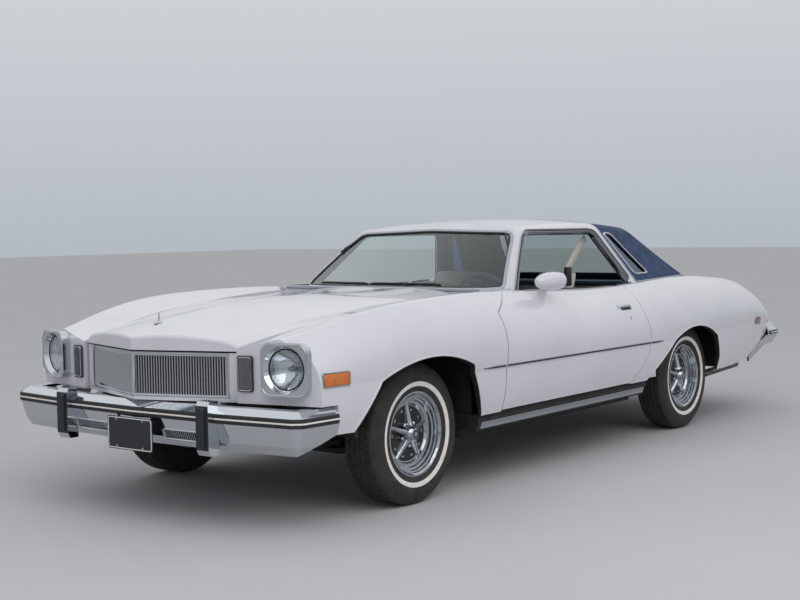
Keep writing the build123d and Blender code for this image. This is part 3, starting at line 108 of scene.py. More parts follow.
def lathe(profile, centre, axis, count=64, closed=False):
    """Profile of (along, radius) rows turned round an axis through a centre. A closed one makes a ring."""
    axis = np.asarray(axis, float) / np.linalg.norm(axis)
    first = np.cross(axis, (0.0, 0.0, 1.0))
    if np.linalg.norm(first) < 1e-6:
        first = np.array([1.0, 0.0, 0.0])
    first = first / np.linalg.norm(first)
    second = np.cross(axis, first)
    profile = np.asarray(profile, float)
    angle = np.linspace(0, 2 * math.pi, count, endpoint=False)[:, None, None]
    along = profile[None, :, :1] * axis
    out = profile[None, :, 1:] * (np.cos(angle) * first + np.sin(angle) * second)
    return grid(np.asarray(centre, float) + along + out, wrap_rows=True, wrap_columns=closed)


def rounded_rectangle(width, height, corner, steps=5):
    """Outline of a rectangle with quarter-circle corners, about its middle, anticlockwise."""
    turn = np.linspace(0, math.pi / 2, steps)
    parts = []
    for quarter, (sx, sy) in enumerate(((1, 1), (-1, 1), (-1, -1), (1, -1))):
        angle = turn + quarter * math.pi / 2
        centre = (sx * (width / 2 - corner), sy * (height / 2 - corner))
        arc = [centre[0] + corner * np.cos(angle), centre[1] + corner * np.sin(angle)]
        parts.append(np.stack(arc, axis=1))
    return np.concatenate(parts)


def circle(radius, count):
    """Outline of a circle about its middle, anticlockwise."""
    return [(radius * math.cos(angle), radius * math.sin(angle))
            for angle in np.linspace(0, 2 * math.pi, count + 1)[:-1]]


def round_corners(points, radius, steps=5):
    """Closed outline whose corners are replaced by curves that leave and meet the sides at a distance."""
    points = np.asarray(points, float)
    before = np.roll(points, 1, axis=0)
    after = np.roll(points, -1, axis=0)
    into = (before - points) / np.linalg.norm(before - points, axis=1, keepdims=True)
    out = (after - points) / np.linalg.norm(after - points, axis=1, keepdims=True)
    t = np.linspace(0, 1, steps)[None, :, None]
    start = (points + into * radius)[:, None, :]
    end = (points + out * radius)[:, None, :]
    curve = start * (1 - t) ** 2 + points[:, None, :] * 2 * t * (1 - t) + end * t**2
    return curve.reshape(-1, points.shape[1])


def round_path(points, radius, steps=6):
    """Open path whose inner corners are replaced by curves that leave and meet the sides at a distance."""
    points = np.asarray(points, float)
    rounded = [points[:1]]
    for before, corner, after in zip(points[:-2], points[1:-1], points[2:]):
        near = min(radius, 0.45 * np.linalg.norm(before - corner), 0.45 * np.linalg.norm(after - corner))
        start = corner + near * (before - corner) / np.linalg.norm(before - corner)
        end = corner + near * (after - corner) / np.linalg.norm(after - corner)
        t = np.linspace(0, 1, steps)[:, None]
        rounded.append(start * (1 - t) ** 2 + corner * 2 * t * (1 - t) + end * t**2)
    rounded.append(points[-1:])
    return np.concatenate(rounded)


def offset_outline(points, distance):
    """Closed outline, with its middle inside it, moved outwards by a distance, corner by corner."""
    points = np.asarray(points, float)
    before = np.roll(points, 1, axis=0)
    after = np.roll(points, -1, axis=0)
    one = (points - before) / np.linalg.norm(points - before, axis=1, keepdims=True)
    two = (after - points) / np.linalg.norm(after - points, axis=1, keepdims=True)
    first = np.stack([one[:, 1], -one[:, 0]], axis=1)
    second = np.stack([two[:, 1], -two[:, 0]], axis=1)
    mean = first + second
    mean = mean / np.linalg.norm(mean, axis=1, keepdims=True)
    moved = mean * distance / np.clip((mean * first).sum(axis=1, keepdims=True), 0.5, 1)
    return points + moved * np.sign(((points - points.mean(axis=0)) * moved).sum())


def circle_through(first, middle, last, count):
    """Points on the circle through three 2-D points, from the first to the last by way of the middle one."""
    a = 2 * (middle - first)
    b = 2 * (last - first)
    right = np.array([middle @ middle - first @ first, last @ last - first @ first])
    centre = np.linalg.solve(np.array([a, b]), right)
    angles = np.unwrap([math.atan2(*(point - centre)[::-1]) for point in (first, middle, last)])
    turn = np.linspace(angles[0], angles[2], count)
    radius = np.linalg.norm(first - centre)
    return centre + radius * np.stack([np.cos(turn), np.sin(turn)], axis=1)


def half_round(width, height, base=0.002, steps=7):
    """Trim section: a low half ellipse on a base that is sunk a little into what carries it."""
    turn = np.linspace(0, math.pi, steps)
    arch = np.stack([-width / 2 * np.cos(turn), height * np.sin(turn)], axis=1)
    return np.vstack([arch, [(width / 2, -base), (-width / 2, -base)]])


def even(half):
    """Section that is alike on both sides, from the points of its right half, foot first."""
    left = [(-across, rise) for across, rise in half]
    return [left[0], *half, *left[:0:-1]]


def taper(count, first=0.25, last=0.25, run=4):
    """Sizes along a strip that is drawn in at its ends."""
    size = np.ones(count)
    size[:run] = np.linspace(first, 1, run)
    size[-run:] = np.linspace(1, last, run)
    return size


def curve_through(points, count):
    """Smooth line through a few points, as cubics whose slopes are half the way between the neighbours."""
    points = np.asarray(points, float)
    padded = np.vstack([2 * points[0] - points[1], points, 2 * points[-1] - points[-2]])
    place = np.linspace(0, len(points) - 1, count)
    cell = np.minimum(place.astype(int), len(points) - 2)
    t = (place - cell)[:, None]
    p0, p1, p2, p3 = (padded[cell + k] for k in range(4))
    square = 2 * p0 - 5 * p1 + 4 * p2 - p3
    cube = 3 * p1 - p0 - 3 * p2 + p3
    return 0.5 * (2 * p1 + (p2 - p0) * t + square * t**2 + cube * t**3)


def along(points, count):
    """Points spread evenly by length along straight runs between corners."""
    points = np.asarray(points, float)
    length = np.concatenate([[0.0], np.cumsum(np.linalg.norm(np.diff(points, axis=0), axis=1))])
    place = np.linspace(0, length[-1], count)
    return np.stack([np.interp(place, length, points[:, k]) for k in range(points.shape[1])], axis=1)


def spaced(outline, step, closed=True):
    """Points along an outline at about an even step."""
    outline = np.asarray(outline, float)
    if closed:
        outline = np.vstack([outline, outline[:1]])
    length = np.linalg.norm(np.diff(outline, axis=0), axis=1).sum()
    made = along(outline, int(length / step) + 2)
    return made[:-1] if closed else made


def smooth_line(path, passes):
    """Path whose inner points are each moved a few times to the mean of themselves and their neighbours."""
    path = path.copy()
    for _ in range(passes):
        path[1:-1] = (path[:-2] + 2 * path[1:-1] + path[2:]) / 4
    return path


def together(*shells):
    """Several shells as one."""
    points = []
    faces = []
    start = 0
    for shell_points, shell_faces in shells:
        points.append(np.asarray(shell_points, float))
        faces += [[index + start for index in face] for face in shell_faces]
        start += len(shell_points)
    return np.concatenate(points), faces


def mirrored(shell):
    """Mirror image on the car's right, with its faces turned back outwards."""
    return shell[0] * (1, -1, 1), [face[::-1] for face in shell[1]]


def both_sides(shell):
    """A shell of the car's left with its mirror image, as one."""
    return together(shell, mirrored(shell))


def to_side(side, shell):
    """Shell as it is for the left side, or its mirror image for the right."""
    return mirrored(shell) if side == "right" else shell


def placed(shell, origin, forward, up=(0, 0, 1)):
    """Shell moved from a local frame, whose X becomes forward and whose Z is kept near up."""
    x_axis = np.asarray(forward, float) / np.linalg.norm(forward)
    y_axis = np.cross(up, x_axis)
    y_axis = y_axis / np.linalg.norm(y_axis)
    z_axis = np.cross(x_axis, y_axis)
    return shell[0] @ np.array([x_axis, y_axis, z_axis]) + np.asarray(origin, float), shell[1]


def block(low, high):
    """Box between two corners."""
    low, high = np.asarray(low, float), np.asarray(high, float)
    corners = np.array([[x, y, z] for x in (0, 1) for y in (0, 1) for z in (0, 1)], float)
    faces = [[0, 1, 3, 2], [4, 6, 7, 5], [0, 4, 5, 1], [2, 3, 7, 6], [0, 2, 6, 4], [1, 5, 7, 3]]
    return low + corners * (high - low), faces


def piece(name, shell, material, body="body", slot=None, crease=32.0, bevel=0.0):
    """Shell made an object: kept within the CAD model's box, its seams merged, its faces turned outwards,
    with soft shading up to an angle, its edges rounded where a bevel is given, and its place on a body. Its
    look slot is worked out, the material's own where none is given, but not set on it."""
    mesh = bpy.data.meshes.new(name)
    mesh.from_pydata(np.clip(shell[0], *cad_box).tolist(), [], shell[1])
    work = bmesh.new()
    work.from_mesh(mesh)
    bmesh.ops.remove_doubles(work, verts=work.verts, dist=0.00002)
    bmesh.ops.dissolve_degenerate(work, edges=work.edges, dist=0.00001)
    bmesh.ops.recalc_face_normals(work, faces=work.faces)
    work.to_mesh(mesh)
    work.free()
    mesh.shade_smooth()
    mesh.set_sharp_from_angle(angle=math.radians(crease))
    mesh.materials.append(material)
    made = bpy.data.objects.new(name, mesh)
    bpy.context.scene.collection.objects.link(made)
    if bevel:
        rounding = made.modifiers.new("edges", "BEVEL")
        rounding.width = bevel
        rounding.segments = 2
        rounding.limit_method = "ANGLE"
        rounding.angle_limit = math.radians(30)
    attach(made, body)
    slot = slot or SLOTS[material]
    return made


def on_each_side(parts, owner="door"):
    """The same pieces left and right, from rows of piece()'s name, shell, material, slot and crease."""
    for side in ("left", "right"):
        body = f"door_{side}" if owner == "door" else owner
        for name, shell, material, *more in parts:
            piece(f"{name}_{side}", to_side(side, shell), material, body, *more)


def tree_of(*names):
    """Search tree over the faces of some CAD nodes."""
    points = []
    faces = []
    for name in names:
        mesh = nodes[name].data
        start = len(points)
        points += [vertex.co.copy() for vertex in mesh.vertices]
        faces += [[index + start for index in polygon.vertices] for polygon in mesh.polygons]
    return BVHTree.FromPolygons(points, faces)


def cast(tree, starts, direction):
    """First points and normals that rays from some start points meet on a search tree. A ray that misses it,
    or goes on through an opening to half a metre beyond the others' middle distance, takes the nearest point
    at that distance."""
    direction = Vector(direction).normalized()
    starts = [Vector(start) for start in starts]
    hits = [tree.ray_cast(start, direction) for start in starts]
    reach = float(np.median([hit[3] for hit in hits if hit[0] is not None]))
    hits = [hit if hit[0] is not None and hit[3] < reach + 0.5
            else tree.find_nearest(start + direction * reach) for hit, start in zip(hits, starts)]
    return np.array([hit[0] for hit in hits]), np.array([hit[1] for hit in hits])


# Finishes

ENAMEL_WHITES = ("#DEDEE5", "#D6D6DF")
SLATE_BLUES = ("#4C5D78", "#56677F")
UNDERSEAL = ("#141415", "#242220")
CHROME_TONE = "#C6CACF"


def linear(code):
    """Linear colour of an sRGB hex code: ((c + 0.055) / 1.055)^2.4 of each channel, or c / 12.92 if dark."""
    channels = np.array([int(code[k : k + 2], 16) for k in (1, 3, 5)]) / 255.0
    light = np.where(channels <= 0.04045, channels / 12.92, ((channels + 0.055) / 1.055) ** 2.4)
    return (*light.tolist(), 1.0)


def add(tree, kind, inputs=(), output=0, **settings):
    """Adds a node and returns one of its outputs. Inputs are a row in the order of its sockets, or a
    dictionary by their names or numbers: a socket among them is linked, and a hex colour turned to linear.
    Settings go on the node. On a Mix of colours, 0 is the factor, 6 and 7 are the colours, and output 2 is
    the mix."""
    made = tree.nodes.new("ShaderNode" + kind)
    for key, value in settings.items():
        setattr(made, key, value)
    for key, value in (inputs if isinstance(inputs, dict) else dict(enumerate(inputs))).items():
        if isinstance(value, bpy.types.NodeSocket):
            tree.links.new(value, made.inputs[key])
        else:
            made.inputs[key].default_value = linear(value) if isinstance(value, str) else value
    return made.outputs[output]


def finish(name, **sockets):
    """Material with one Principled shader whose even values are set on its own sockets.
    Returns the material, its tree, the shader and the object's coordinates."""
    made = bpy.data.materials.new(name)
    made.use_nodes = True
    tree = made.node_tree
    shader = tree.nodes["Principled BSDF"]
    for key, value in sockets.items():
        shader.inputs[key.replace("_", " ")].default_value = value
    return made, tree, shader, add(tree, "TexCoord", output="Object")


def wire(shader, **outputs):
    """Links outputs to the shader's sockets that the keywords name."""
    for key, output in outputs.items():
        shader.id_data.links.new(output, shader.inputs[key.replace("_", " ")])


def uneven(tree, place, size, detail, low, high, start=0.3, end=0.7):
    """A value that goes softly from low to high and back, in lumps of about a given size in metres."""
    lumps = add(tree, "TexNoise", {"Vector": place, "Scale": 1.0 / size, "Detail": detail}, "Fac")
    return add(tree, "MapRange", (lumps, start, end, low, high))


def patches(tree, place, size, detail, first, second, start=0.3, end=0.7):
    """Two colours in soft patches of about a given size in metres."""
    factor = uneven(tree, place, size, detail, 0.0, 1.0, start, end)
    return add(tree, "Mix", {0: factor, 6: first, 7: second}, 2, data_type="RGBA")


def wavy(tree, shader, place, size, detail, depth, strength):
    """Surface in soft lumps of about a given size that stand up to a depth, both in metres."""
    lumps = add(tree, "TexNoise", {"Vector": place, "Scale": 1.0 / size, "Detail": detail}, "Fac")
    wire(shader, Normal=add(tree, "Bump", {"Height": lumps, "Distance": depth, "Strength": strength}))


def simple(name, colours=None, rough=None, grain=None, **sockets):
    """Material with what is given of three: patches of two colours, as in patches(); a roughness in lumps, as
    in uneven(); and a surface in lumps, as in wavy()."""
    made, tree, shader, place = finish(name, **sockets)
    if colours:
        wire(shader, Base_Color=patches(tree, place, *colours))
    if rough:
        wire(shader, Roughness=uneven(tree, place, *rough))
    if grain:
        wavy(tree, shader, place, *grain)
    return made


def grained(name, scale, depth, strength, colours, **sockets):
    """Moulded or embossed material in patches of two colours, with a grain of cells, so many to a metre."""
    made, tree, shader, place = finish(name, **sockets)
    wire(shader, Base_Color=patches(tree, place, *colours))
    cells = add(tree, "TexVoronoi", {"Vector": place, "Scale": scale}, "Distance")
    wire(shader, Normal=add(tree, "Bump", {"Height": cells, "Distance": depth, "Strength": strength}))
    return made


def prism_lens(name, light, dark):
    """Acrylic lens moulded with small square prisms inside, 7 mm apart."""
    made, tree, shader, place = finish(name, Roughness=0.12, Coat_Weight=0.8, Coat_Roughness=0.03)
    prisms = add(tree, "TexVoronoi", {"Vector": place, "Scale": 140.0, "Randomness": 0.0}, "Distance",
                 distance="CHEBYCHEV")
    depth = add(tree, "MapRange", (prisms, 0.0, 0.5, 0.0, 1.0))
    wire(shader, Base_Color=add(tree, "Mix", {0: depth, 6: light, 7: dark}, 2, data_type="RGBA"),
         Normal=add(tree, "Bump", {"Height": prisms, "Distance": 0.0012, "Strength": 0.6}))
    return made


def glass(name, colour, **grain):
    """Clear glass in one tint, hardly wavy."""
    return simple(name, Base_Color=linear(colour), IOR=1.5, Transmission_Weight=1.0, **grain)


def enamel(name):
    """Start of an enamel: its gloss, its orange peel and its white, hardly uneven over a third of a metre."""
    made, tree, shader, place = finish(name, Roughness=0.32, Coat_Weight=1.0, Coat_Roughness=0.04)
    wavy(tree, shader, place, 0.004, 1.0, 0.00004, 0.35)
    return made, tree, shader, place, patches(tree, place, 0.35, 2.0, *ENAMEL_WHITES)


def facing(tree, place, centre, plane=(1.0, 1.0, 1.0)):
    """How far a surface faces a centre, from -1 to 1: its normal times the way to the centre, in a plane."""
    way = add(tree, "VectorMath", (centre, place), operation="SUBTRACT")
    way = add(tree, "VectorMath", (way, plane), operation="MULTIPLY")
    way = add(tree, "VectorMath", (way,), operation="NORMALIZE")
    normal = add(tree, "NewGeometry", output="Normal")
    return add(tree, "VectorMath", (normal, way), "Value", operation="DOT_PRODUCT")


def lined_enamel(name, centre, plane, least, lining):
    """The body's enamel, with a lining's two colours and no gloss where the surface faces a centre by at
    least a share, or faces the car's middle plane within half a metre of that centre in side view."""
    made, tree, shader, place, white = enamel(name)
    inner = add(tree, "MapRange", (facing(tree, place, centre, plane), least, least + 0.02, 0.0, 1.0))
    inward = facing(tree, place, centre, (0.0, 1.0, 0.0))
    inward = add(tree, "MapRange", (inward, 0.5, 0.52, 0.0, 1.0))
    beside = add(tree, "VectorMath", (centre, place), operation="SUBTRACT")
    beside = add(tree, "VectorMath", (beside, (1.0, 0.0, 1.0)), operation="MULTIPLY")
    away = add(tree, "VectorMath", (beside,), "Value", operation="LENGTH")
    near = add(tree, "MapRange", (away, 0.50, 0.51, 1.0, 0.0))
    inward = add(tree, "Math", (inward, near), operation="MULTIPLY")
    inner = add(tree, "Math", (inner, inward), operation="MAXIMUM")
    inside = patches(tree, place, 0.03, 5.0, *lining)
    wire(shader, Base_Color=add(tree, "Mix", {0: inner, 6: white, 7: inside}, 2, data_type="RGBA"),
         Roughness=add(tree, "MapRange", (inner, 0.0, 1.0, 0.32, 0.9)),
         Coat_Weight=add(tree, "MapRange", (inner, 0.0, 1.0, 1.0, 0.0)))
    return made


# Acrylic enamel, sprayed and polished: a hard clear gloss with a faint orange peel of about 4 mm.
white_enamel, tree, shader, place, white = enamel("white_acrylic_enamel")
wire(shader, Base_Color=white)

# The same enamel on the wings and quarters, with rough underseal inside the wheel openings.
sideways = (1.0, 0.0, 1.0)
front_wing_enamel = lined_enamel("white_enamel_front_wings", (1.640, 0.0, AXLE_Z), sideways, 0.55, UNDERSEAL)
rear_wing_enamel = lined_enamel("white_enamel_quarters", (-1.205, 0.0, AXLE_Z), sideways, 0.62, UNDERSEAL)

# The same enamel outside the roof and doors, with woven headlining or moulded trim inside.
roof_enamel = lined_enamel("white_enamel_roof", (-0.20, 0.0, 0.95), (1.0, 1.0, 1.0), 0.02,
                           ("#3D4452", "#4A5262"))
door_enamel = lined_enamel("white_enamel_doors", (0.25, 0.0, 0.62), (0.0, 1.0, 0.0), 0.3,
                           ("#3B475C", "#465369"))

# Grained vinyl cloth glued over the roof, softly shining: pebbles of about 2 mm, drawn at 3 mm to show.
roof_vinyl, tree, shader, place = finish("navy_grained_vinyl", Roughness=0.6)
cloth = patches(tree, place, 0.16, 4.0, "#0F2A50", "#163B66")
lined = add(tree, "MapRange", (facing(tree, place, (-0.70, 0.0, 0.95)), 0.02, 0.04, 0.0, 1.0))
pebbles = add(tree, "TexVoronoi", {"Vector": place, "Scale": 330.0}, "Distance", feature="SMOOTH_F1")
wire(shader, Base_Color=add(tree, "Mix", {0: lined, 6: cloth, 7: "#434A58"}, 2, data_type="RGBA"),
     Roughness=uneven(tree, place, 0.05, 2.0, 0.52, 0.7),
     Normal=add(tree, "Bump", {"Height": pebbles, "Distance": 0.0006, "Strength": 0.7}))

# Chromium plate on polished steel: mirror bright, with faint waves in the pressing and a light haze.
chrome = simple("chromium_plate", rough=(0.03, 4.0, 0.03, 0.10), grain=(0.05, 1.0, 0.0006, 0.25),
                Metallic=1.0, Base_Color=linear(CHROME_TONE))

# Grille: chromium plate on die-cast zinc, with black paint between the bars, 7 mm behind their pointed front.
grille_finish, tree, shader, place = finish("black_filled_die_cast_grille")
across = add(tree, "Math", (add(tree, "SeparateXYZ", (place,), "Y"),), operation="ABSOLUTE")
forward = add(tree, "SeparateXYZ", (place,), "X")
ahead = add(tree, "Math", (across, NOSE_SWEEP, forward), operation="MULTIPLY_ADD")
proud = add(tree, "MapRange", (ahead, 2.6125, 2.6145, 0.0, 1.0))
wire(shader, Base_Color=add(tree, "Mix", {0: proud, 6: "#0B0B0D", 7: "#BFC3C8"}, 2, data_type="RGBA"),
     Metallic=proud, Roughness=add(tree, "MapRange", (proud, 0.0, 1.0, 0.6, 0.10)))
wavy(tree, shader, place, 0.02, 2.0, 0.0003, 0.3)

# Bumper guards: chromium plate with a black rubber pad on the face.
guard_finish, tree, shader, place = finish("chromium_guard_with_rubber_pad")
reach = add(tree, "Math", (add(tree, "SeparateXYZ", (place,), "X"),), operation="ABSOLUTE")
padded = add(tree, "MapRange", (reach, 2.6505, 2.6515, 0.0, 1.0))
rubber = patches(tree, place, 0.03, 5.0, "#17171A", "#262629")
wire(shader, Base_Color=add(tree, "Mix", {0: padded, 6: CHROME_TONE, 7: rubber}, 2, data_type="RGBA"),
     Metallic=add(tree, "MapRange", (padded, 0.0, 1.0, 1.0, 0.0)),
     Roughness=add(tree, "MapRange", (padded, 0.0, 1.0, 0.08, 0.6)))
wavy(tree, shader, place, 0.02, 2.0, 0.0003, 0.3)

# Bright stainless strip, rolled and buffed: a little greyer and softer than chrome, with fine scratches.
stainless = simple("buffed_stainless_steel", rough=(0.012, 5.0, 0.12, 0.24), grain=(0.002, 2.0, 0.00003, 0.4),
                   Metallic=1.0, Base_Color=linear("#A8ADB4"))

# Satin anodised aluminium of the window channels and the parking lamps' backs: grey, soft and even.
satin_aluminium = simple("satin_anodised_aluminium", (0.04, 4.0, "#6C6E72", "#7C7E82"),
                         (0.01, 4.0, 0.28, 0.42), Metallic=0.85)

# Wheel chrome: the same plate on stamped steel, its colour darker than plate as painted reflection of the
# dark wheel arches, and brown-grey in soft patches that are partly brake dust and partly painted reflection.
wheel_chrome, tree, shader, place = finish("wheel_chromium_plate", Metallic=1.0)
dust_and_painted_reflection = uneven(tree, place, 0.02, 5.0, 0.0, 1.0, 0.45, 0.8)
# Both colours are painted reflection, darker than the plate itself; the brown-grey one is brake dust as well.
wire(shader, Base_Color=add(tree, "Mix", {0: dust_and_painted_reflection, 6: "#A9AEB5", 7: "#8C8883"}, 2, data_type="RGBA"),
     Roughness=add(tree, "MapRange", (dust_and_painted_reflection, 0.0, 1.0, 0.05, 0.3)))
wavy(tree, shader, place, 0.03, 1.0, 0.0004, 0.25)

# Satin black baking enamel in the wheels' hollows and on the engine's dress.
wheel_black = simple("satin_black_enamel", (0.015, 5.0, "#0E0E10", "#1D1B1A"), (0.01, 3.0, 0.3, 0.55),
                     Roughness=0.42)

# Tyre rubber: carbon black compound, moulded, brown-grey with road dust.
tyre_rubber = simple("tyre_rubber", (0.05, 6.0, "#2A2826", "#3A3733"), (0.008, 3.0, 0.68, 0.9),
                     (0.0025, 3.0, 0.0002, 0.6), Roughness=0.8)

# White sidewall rubber, buffed, a little yellowed and scuffed.
white_rubber = simple("white_sidewall_rubber", (0.02, 6.0, "#F7F4F1", "#E3DDD6", 0.4, 0.8),
                      grain=(0.003, 2.0, 0.0001, 0.5), Roughness=0.6)

# Extruded black rubber of the bumper strips and seals: soft, matt and slightly chalky.
black_rubber = simple("extruded_black_rubber", (0.03, 5.0, "#19191B", "#28282A"),
                      grain=(0.0015, 2.0, 0.00008, 0.5), Roughness=0.62)

# Clear pressed lamp glass over a silvered bowl.
lamp_glass = glass("pressed_lamp_glass", "#F4F6F8", grain=(0.02, 1.0, 0.0002, 0.3), Roughness=0.03)

# Red and amber acrylic lenses, moulded with small prisms inside.
red_lens = prism_lens("red_acrylic_lens", "#A3161A", "#5F090C")
amber_lens = prism_lens("amber_acrylic_lens", "#F08C1E", "#C4600F")

# Soft-tinted laminated glass, greenish grey, and the opera windows' glass, tinted deeper and bluer.
tinted_glass = glass("tinted_laminated_glass", "#C9D6D3", grain=(0.4, 1.0, 0.0006, 0.15), Roughness=0.0)
opera_glass = glass("deep_tinted_glass", "#4E77A8", grain=(0.4, 1.0, 0.0006, 0.15), Roughness=0.0)

# Silvered mirror glass.
mirror_silver = simple("silvered_mirror_glass", rough=(0.02, 3.0, 0.01, 0.05), Metallic=1.0,
                       Base_Color=linear("#E4E8EA"))

# Chassis black: bitumen paint brushed on pressed steel, dull, with road dust.
chassis_black = simple("bitumen_chassis_paint", (0.06, 6.0, "#17171A", "#2C2825"),
                       grain=(0.006, 4.0, 0.0006, 0.6), Roughness=0.75)

# Cast iron, painted and baked by the engine's heat.
cast_iron = simple("painted_cast_iron", (0.04, 6.0, "#29486B", "#3A3F46"), grain=(0.003, 4.0, 0.0006, 0.8),
                   Roughness=0.6)

# Sand-cast aluminium, grey and grainy.
cast_alloy = simple("sand_cast_aluminium", rough=(0.01, 5.0, 0.42, 0.62), grain=(0.0015, 3.0, 0.0003, 0.8),
                    Metallic=1.0, Base_Color=linear("#8F9194"))

# Bare steel pipe with a brown film of surface rust.
pipe_steel, tree, shader, place = finish("rusted_steel_pipe", Metallic=0.7)
rust = uneven(tree, place, 0.03, 7.0, 0.0, 1.0, 0.4, 0.65)
wire(shader, Base_Color=add(tree, "Mix", {0: rust, 6: "#7B7671", 7: "#5A3A26"}, 2, data_type="RGBA"),
     Roughness=add(tree, "MapRange", (rust, 0.0, 1.0, 0.35, 0.8)),
     Normal=add(tree, "Bump", {"Height": rust, "Distance": 0.0003, "Strength": 0.5}))

# Moulded interior plastic, slate blue with a fine leather grain of about 1.5 mm, drawn at 2.5 mm.
slate_plastic = grained("slate_blue_moulded_plastic", 400.0, 0.0003, 0.5, (0.08, 4.0, *SLATE_BLUES),
                        Roughness=0.55)

# Embossed door vinyl over board, slate blue, lightly grained.
card_vinyl = grained("slate_blue_embossed_vinyl", 420.0, 0.0004, 0.6, (0.06, 5.0, "#3F4E67", "#4C5B76"),
                     Roughness=0.5)

# Parcel shelf: the same plastic inside, and body enamel on the strip behind the rear window.
shelf_finish, tree, shader, place = finish("shelf_plastic_and_enamel", Roughness=0.5)
outside = add(tree, "MapRange", (add(tree, "SeparateXYZ", (place,), "X"), -1.462, -1.458, 1.0, 0.0))
inside = patches(tree, place, 0.08, 4.0, *SLATE_BLUES)
white = patches(tree, place, 0.35, 2.0, *ENAMEL_WHITES)
wire(shader, Base_Color=add(tree, "Mix", {0: outside, 6: inside, 7: white}, 2, data_type="RGBA"),
     Roughness=add(tree, "MapRange", (outside, 0.0, 1.0, 0.55, 0.3)), Coat_Weight=outside)

# Expanded vinyl upholstery, off-white, with creases and a fine grain.
seat_vinyl, tree, shader, place = finish("white_expanded_vinyl", Roughness=0.46)
lumps = {"Vector": place, "Scale": 1.0 / 0.035, "Detail": 6.0, "Roughness": 0.65}
creases = add(tree, "TexNoise", lumps, "Fac")
grain = add(tree, "TexVoronoi", {"Vector": place, "Scale": 380.0}, "Distance")
relief = add(tree, "Math", (creases, 2.5, grain), operation="MULTIPLY_ADD")
worn = add(tree, "MapRange", (creases, 0.3, 0.7, 0.0, 1.0))
wire(shader, Base_Color=add(tree, "Mix", {0: worn, 6: "#DDDAD6", 7: "#C9C5C1"}, 2, data_type="RGBA"),
     Normal=add(tree, "Bump", {"Height": relief, "Distance": 0.0006, "Strength": 0.6}))

# Woven polyester webbing, pale grey, ribbed across every 2 mm, drawn at 4 mm, darker in the grooves between
# the ribs as painted shade.
belt_webbing, tree, shader, place = finish("woven_polyester_webbing", Roughness=0.75, Sheen_Weight=0.3)
weave = {"Vector": place, "Scale": 80.0, "Distortion": 0.3}
ribs = add(tree, "TexWave", weave, "Fac", bands_direction="Z")
# Painted shade: the webbing is darkest where the ribs' bump is lowest.
wire(shader, Base_Color=add(tree, "Mix", {0: ribs, 6: "#B9B3A9", 7: "#D6D1C8"}, 2, data_type="RGBA"),
     Normal=add(tree, "Bump", {"Height": ribs, "Distance": 0.0006, "Strength": 0.7}))

# Loop-pile carpet, navy, with loops of about 4 mm, darker in the low middles of the loops as painted shade,
# and plain black underneath, where it faces down or sideways.
carpet, tree, shader, place = finish("navy_loop_carpet", Roughness=0.95, Sheen_Weight=0.4)
loops = add(tree, "TexVoronoi", {"Vector": place, "Scale": 260.0}, "Distance")
upward = add(tree, "SeparateXYZ", (add(tree, "NewGeometry", output="Normal"),), "Z")
top_side = add(tree, "MapRange", (upward, 0.2, 0.4, 0.0, 1.0))
depth = add(tree, "MapRange", (loops, 0.0, 0.6, 0.0, 1.0))
# Painted shade: the loops are darkest where their bump is lowest.
woven = add(tree, "Mix", {0: depth, 6: "#1D2B45", 7: "#33456A"}, 2, data_type="RGBA")
wire(shader, Base_Color=add(tree, "Mix", {0: top_side, 6: "#1B1A1A", 7: woven}, 2, data_type="RGBA"),
     Normal=add(tree, "Bump", {"Height": loops, "Distance": 0.002, "Strength": 0.8}))

# Number plate: pressed aluminium, painted dark, left blank.
plate_paint = simple("painted_plate_aluminium", (0.03, 5.0, "#17191E", "#23262C"),
                     grain=(0.02, 2.0, 0.0002, 0.4), Roughness=0.4)

FINISHES = {
    white_enamel: ["hood", "nose_panel", "tail_panel", "trunk_lid", "door_mirror", "cowl_panel"],
    front_wing_enamel: ["front_fenders"],
    rear_wing_enamel: ["quarter_panels"],
    door_enamel: ["door_left", "door_right"],
    roof_enamel: ["roof_front"],
    roof_vinyl: ["vinyl_roof_rear"],
    chrome: ["headlamp_bezels", "front_bumper", "rear_bumper"],
    satin_aluminium: ["parking_lamps"],
    grille_finish: ["grille"],
    guard_finish: ["bumper_guards"],
    lamp_glass: ["headlamps"],
    red_lens: ["tail_lamps"],
    tinted_glass: ["windscreen", "backlight"],
    opera_glass: ["opera_windows"],
    # The sills take this dull black too, as the dark band below the doors.
    chassis_black: ["wheelhouses", "frame", "front_suspension", "knuckle_left", "knuckle_right", "rear_axle",
                    "sills", "fuel_tank"],
    cast_iron: ["engine"],
    cast_alloy: ["gearbox"],
    pipe_steel: ["exhaust", "propshaft"],
    slate_plastic: ["dashboard", "steering_wheel"],
    shelf_finish: ["rear_shelf"],
    seat_vinyl: ["front_seats", "rear_seat"],
    carpet: ["floor_pan"],
    plate_paint: ["number_plate"],
    wheel_chrome: [f"wheel_{name}" for name in WHEEL_PLACES],
    tyre_rubber: [f"tyre_{name}" for name in WHEEL_PLACES],
}
for made, names in FINISHES.items():
    for name in names:
        slots = nodes[name].data.materials
        slots.clear()
        slots.append(made)

# The look slot of a material's pieces, where the call gives none.
SLOTS = {
    chrome: "chrome_trim",
    stainless: "chrome_trim",
    satin_aluminium: "chrome_trim",
    chassis_black: "dark_paint",
    wheel_black: "dark_paint",
    white_enamel: "white_paint",
    black_rubber: "black_rubber",
    slate_plastic: "grey_plastic",
    seat_vinyl: "white_vinyl",
    belt_webbing: "white_vinyl",
    card_vinyl: "white_vinyl",
    cast_iron: "engine_iron",
    plate_paint: "plate_paint",
}


# Places on the CAD surfaces

side_tree = tree_of("front_fenders", "door_left", "quarter_panels", "tail_panel")
roof_tree = tree_of("roof_front", "vinyl_roof_rear", "cowl_panel", "rear_shelf", "trunk_lid")
cabin_tree = tree_of("roof_front", "vinyl_roof_rear")


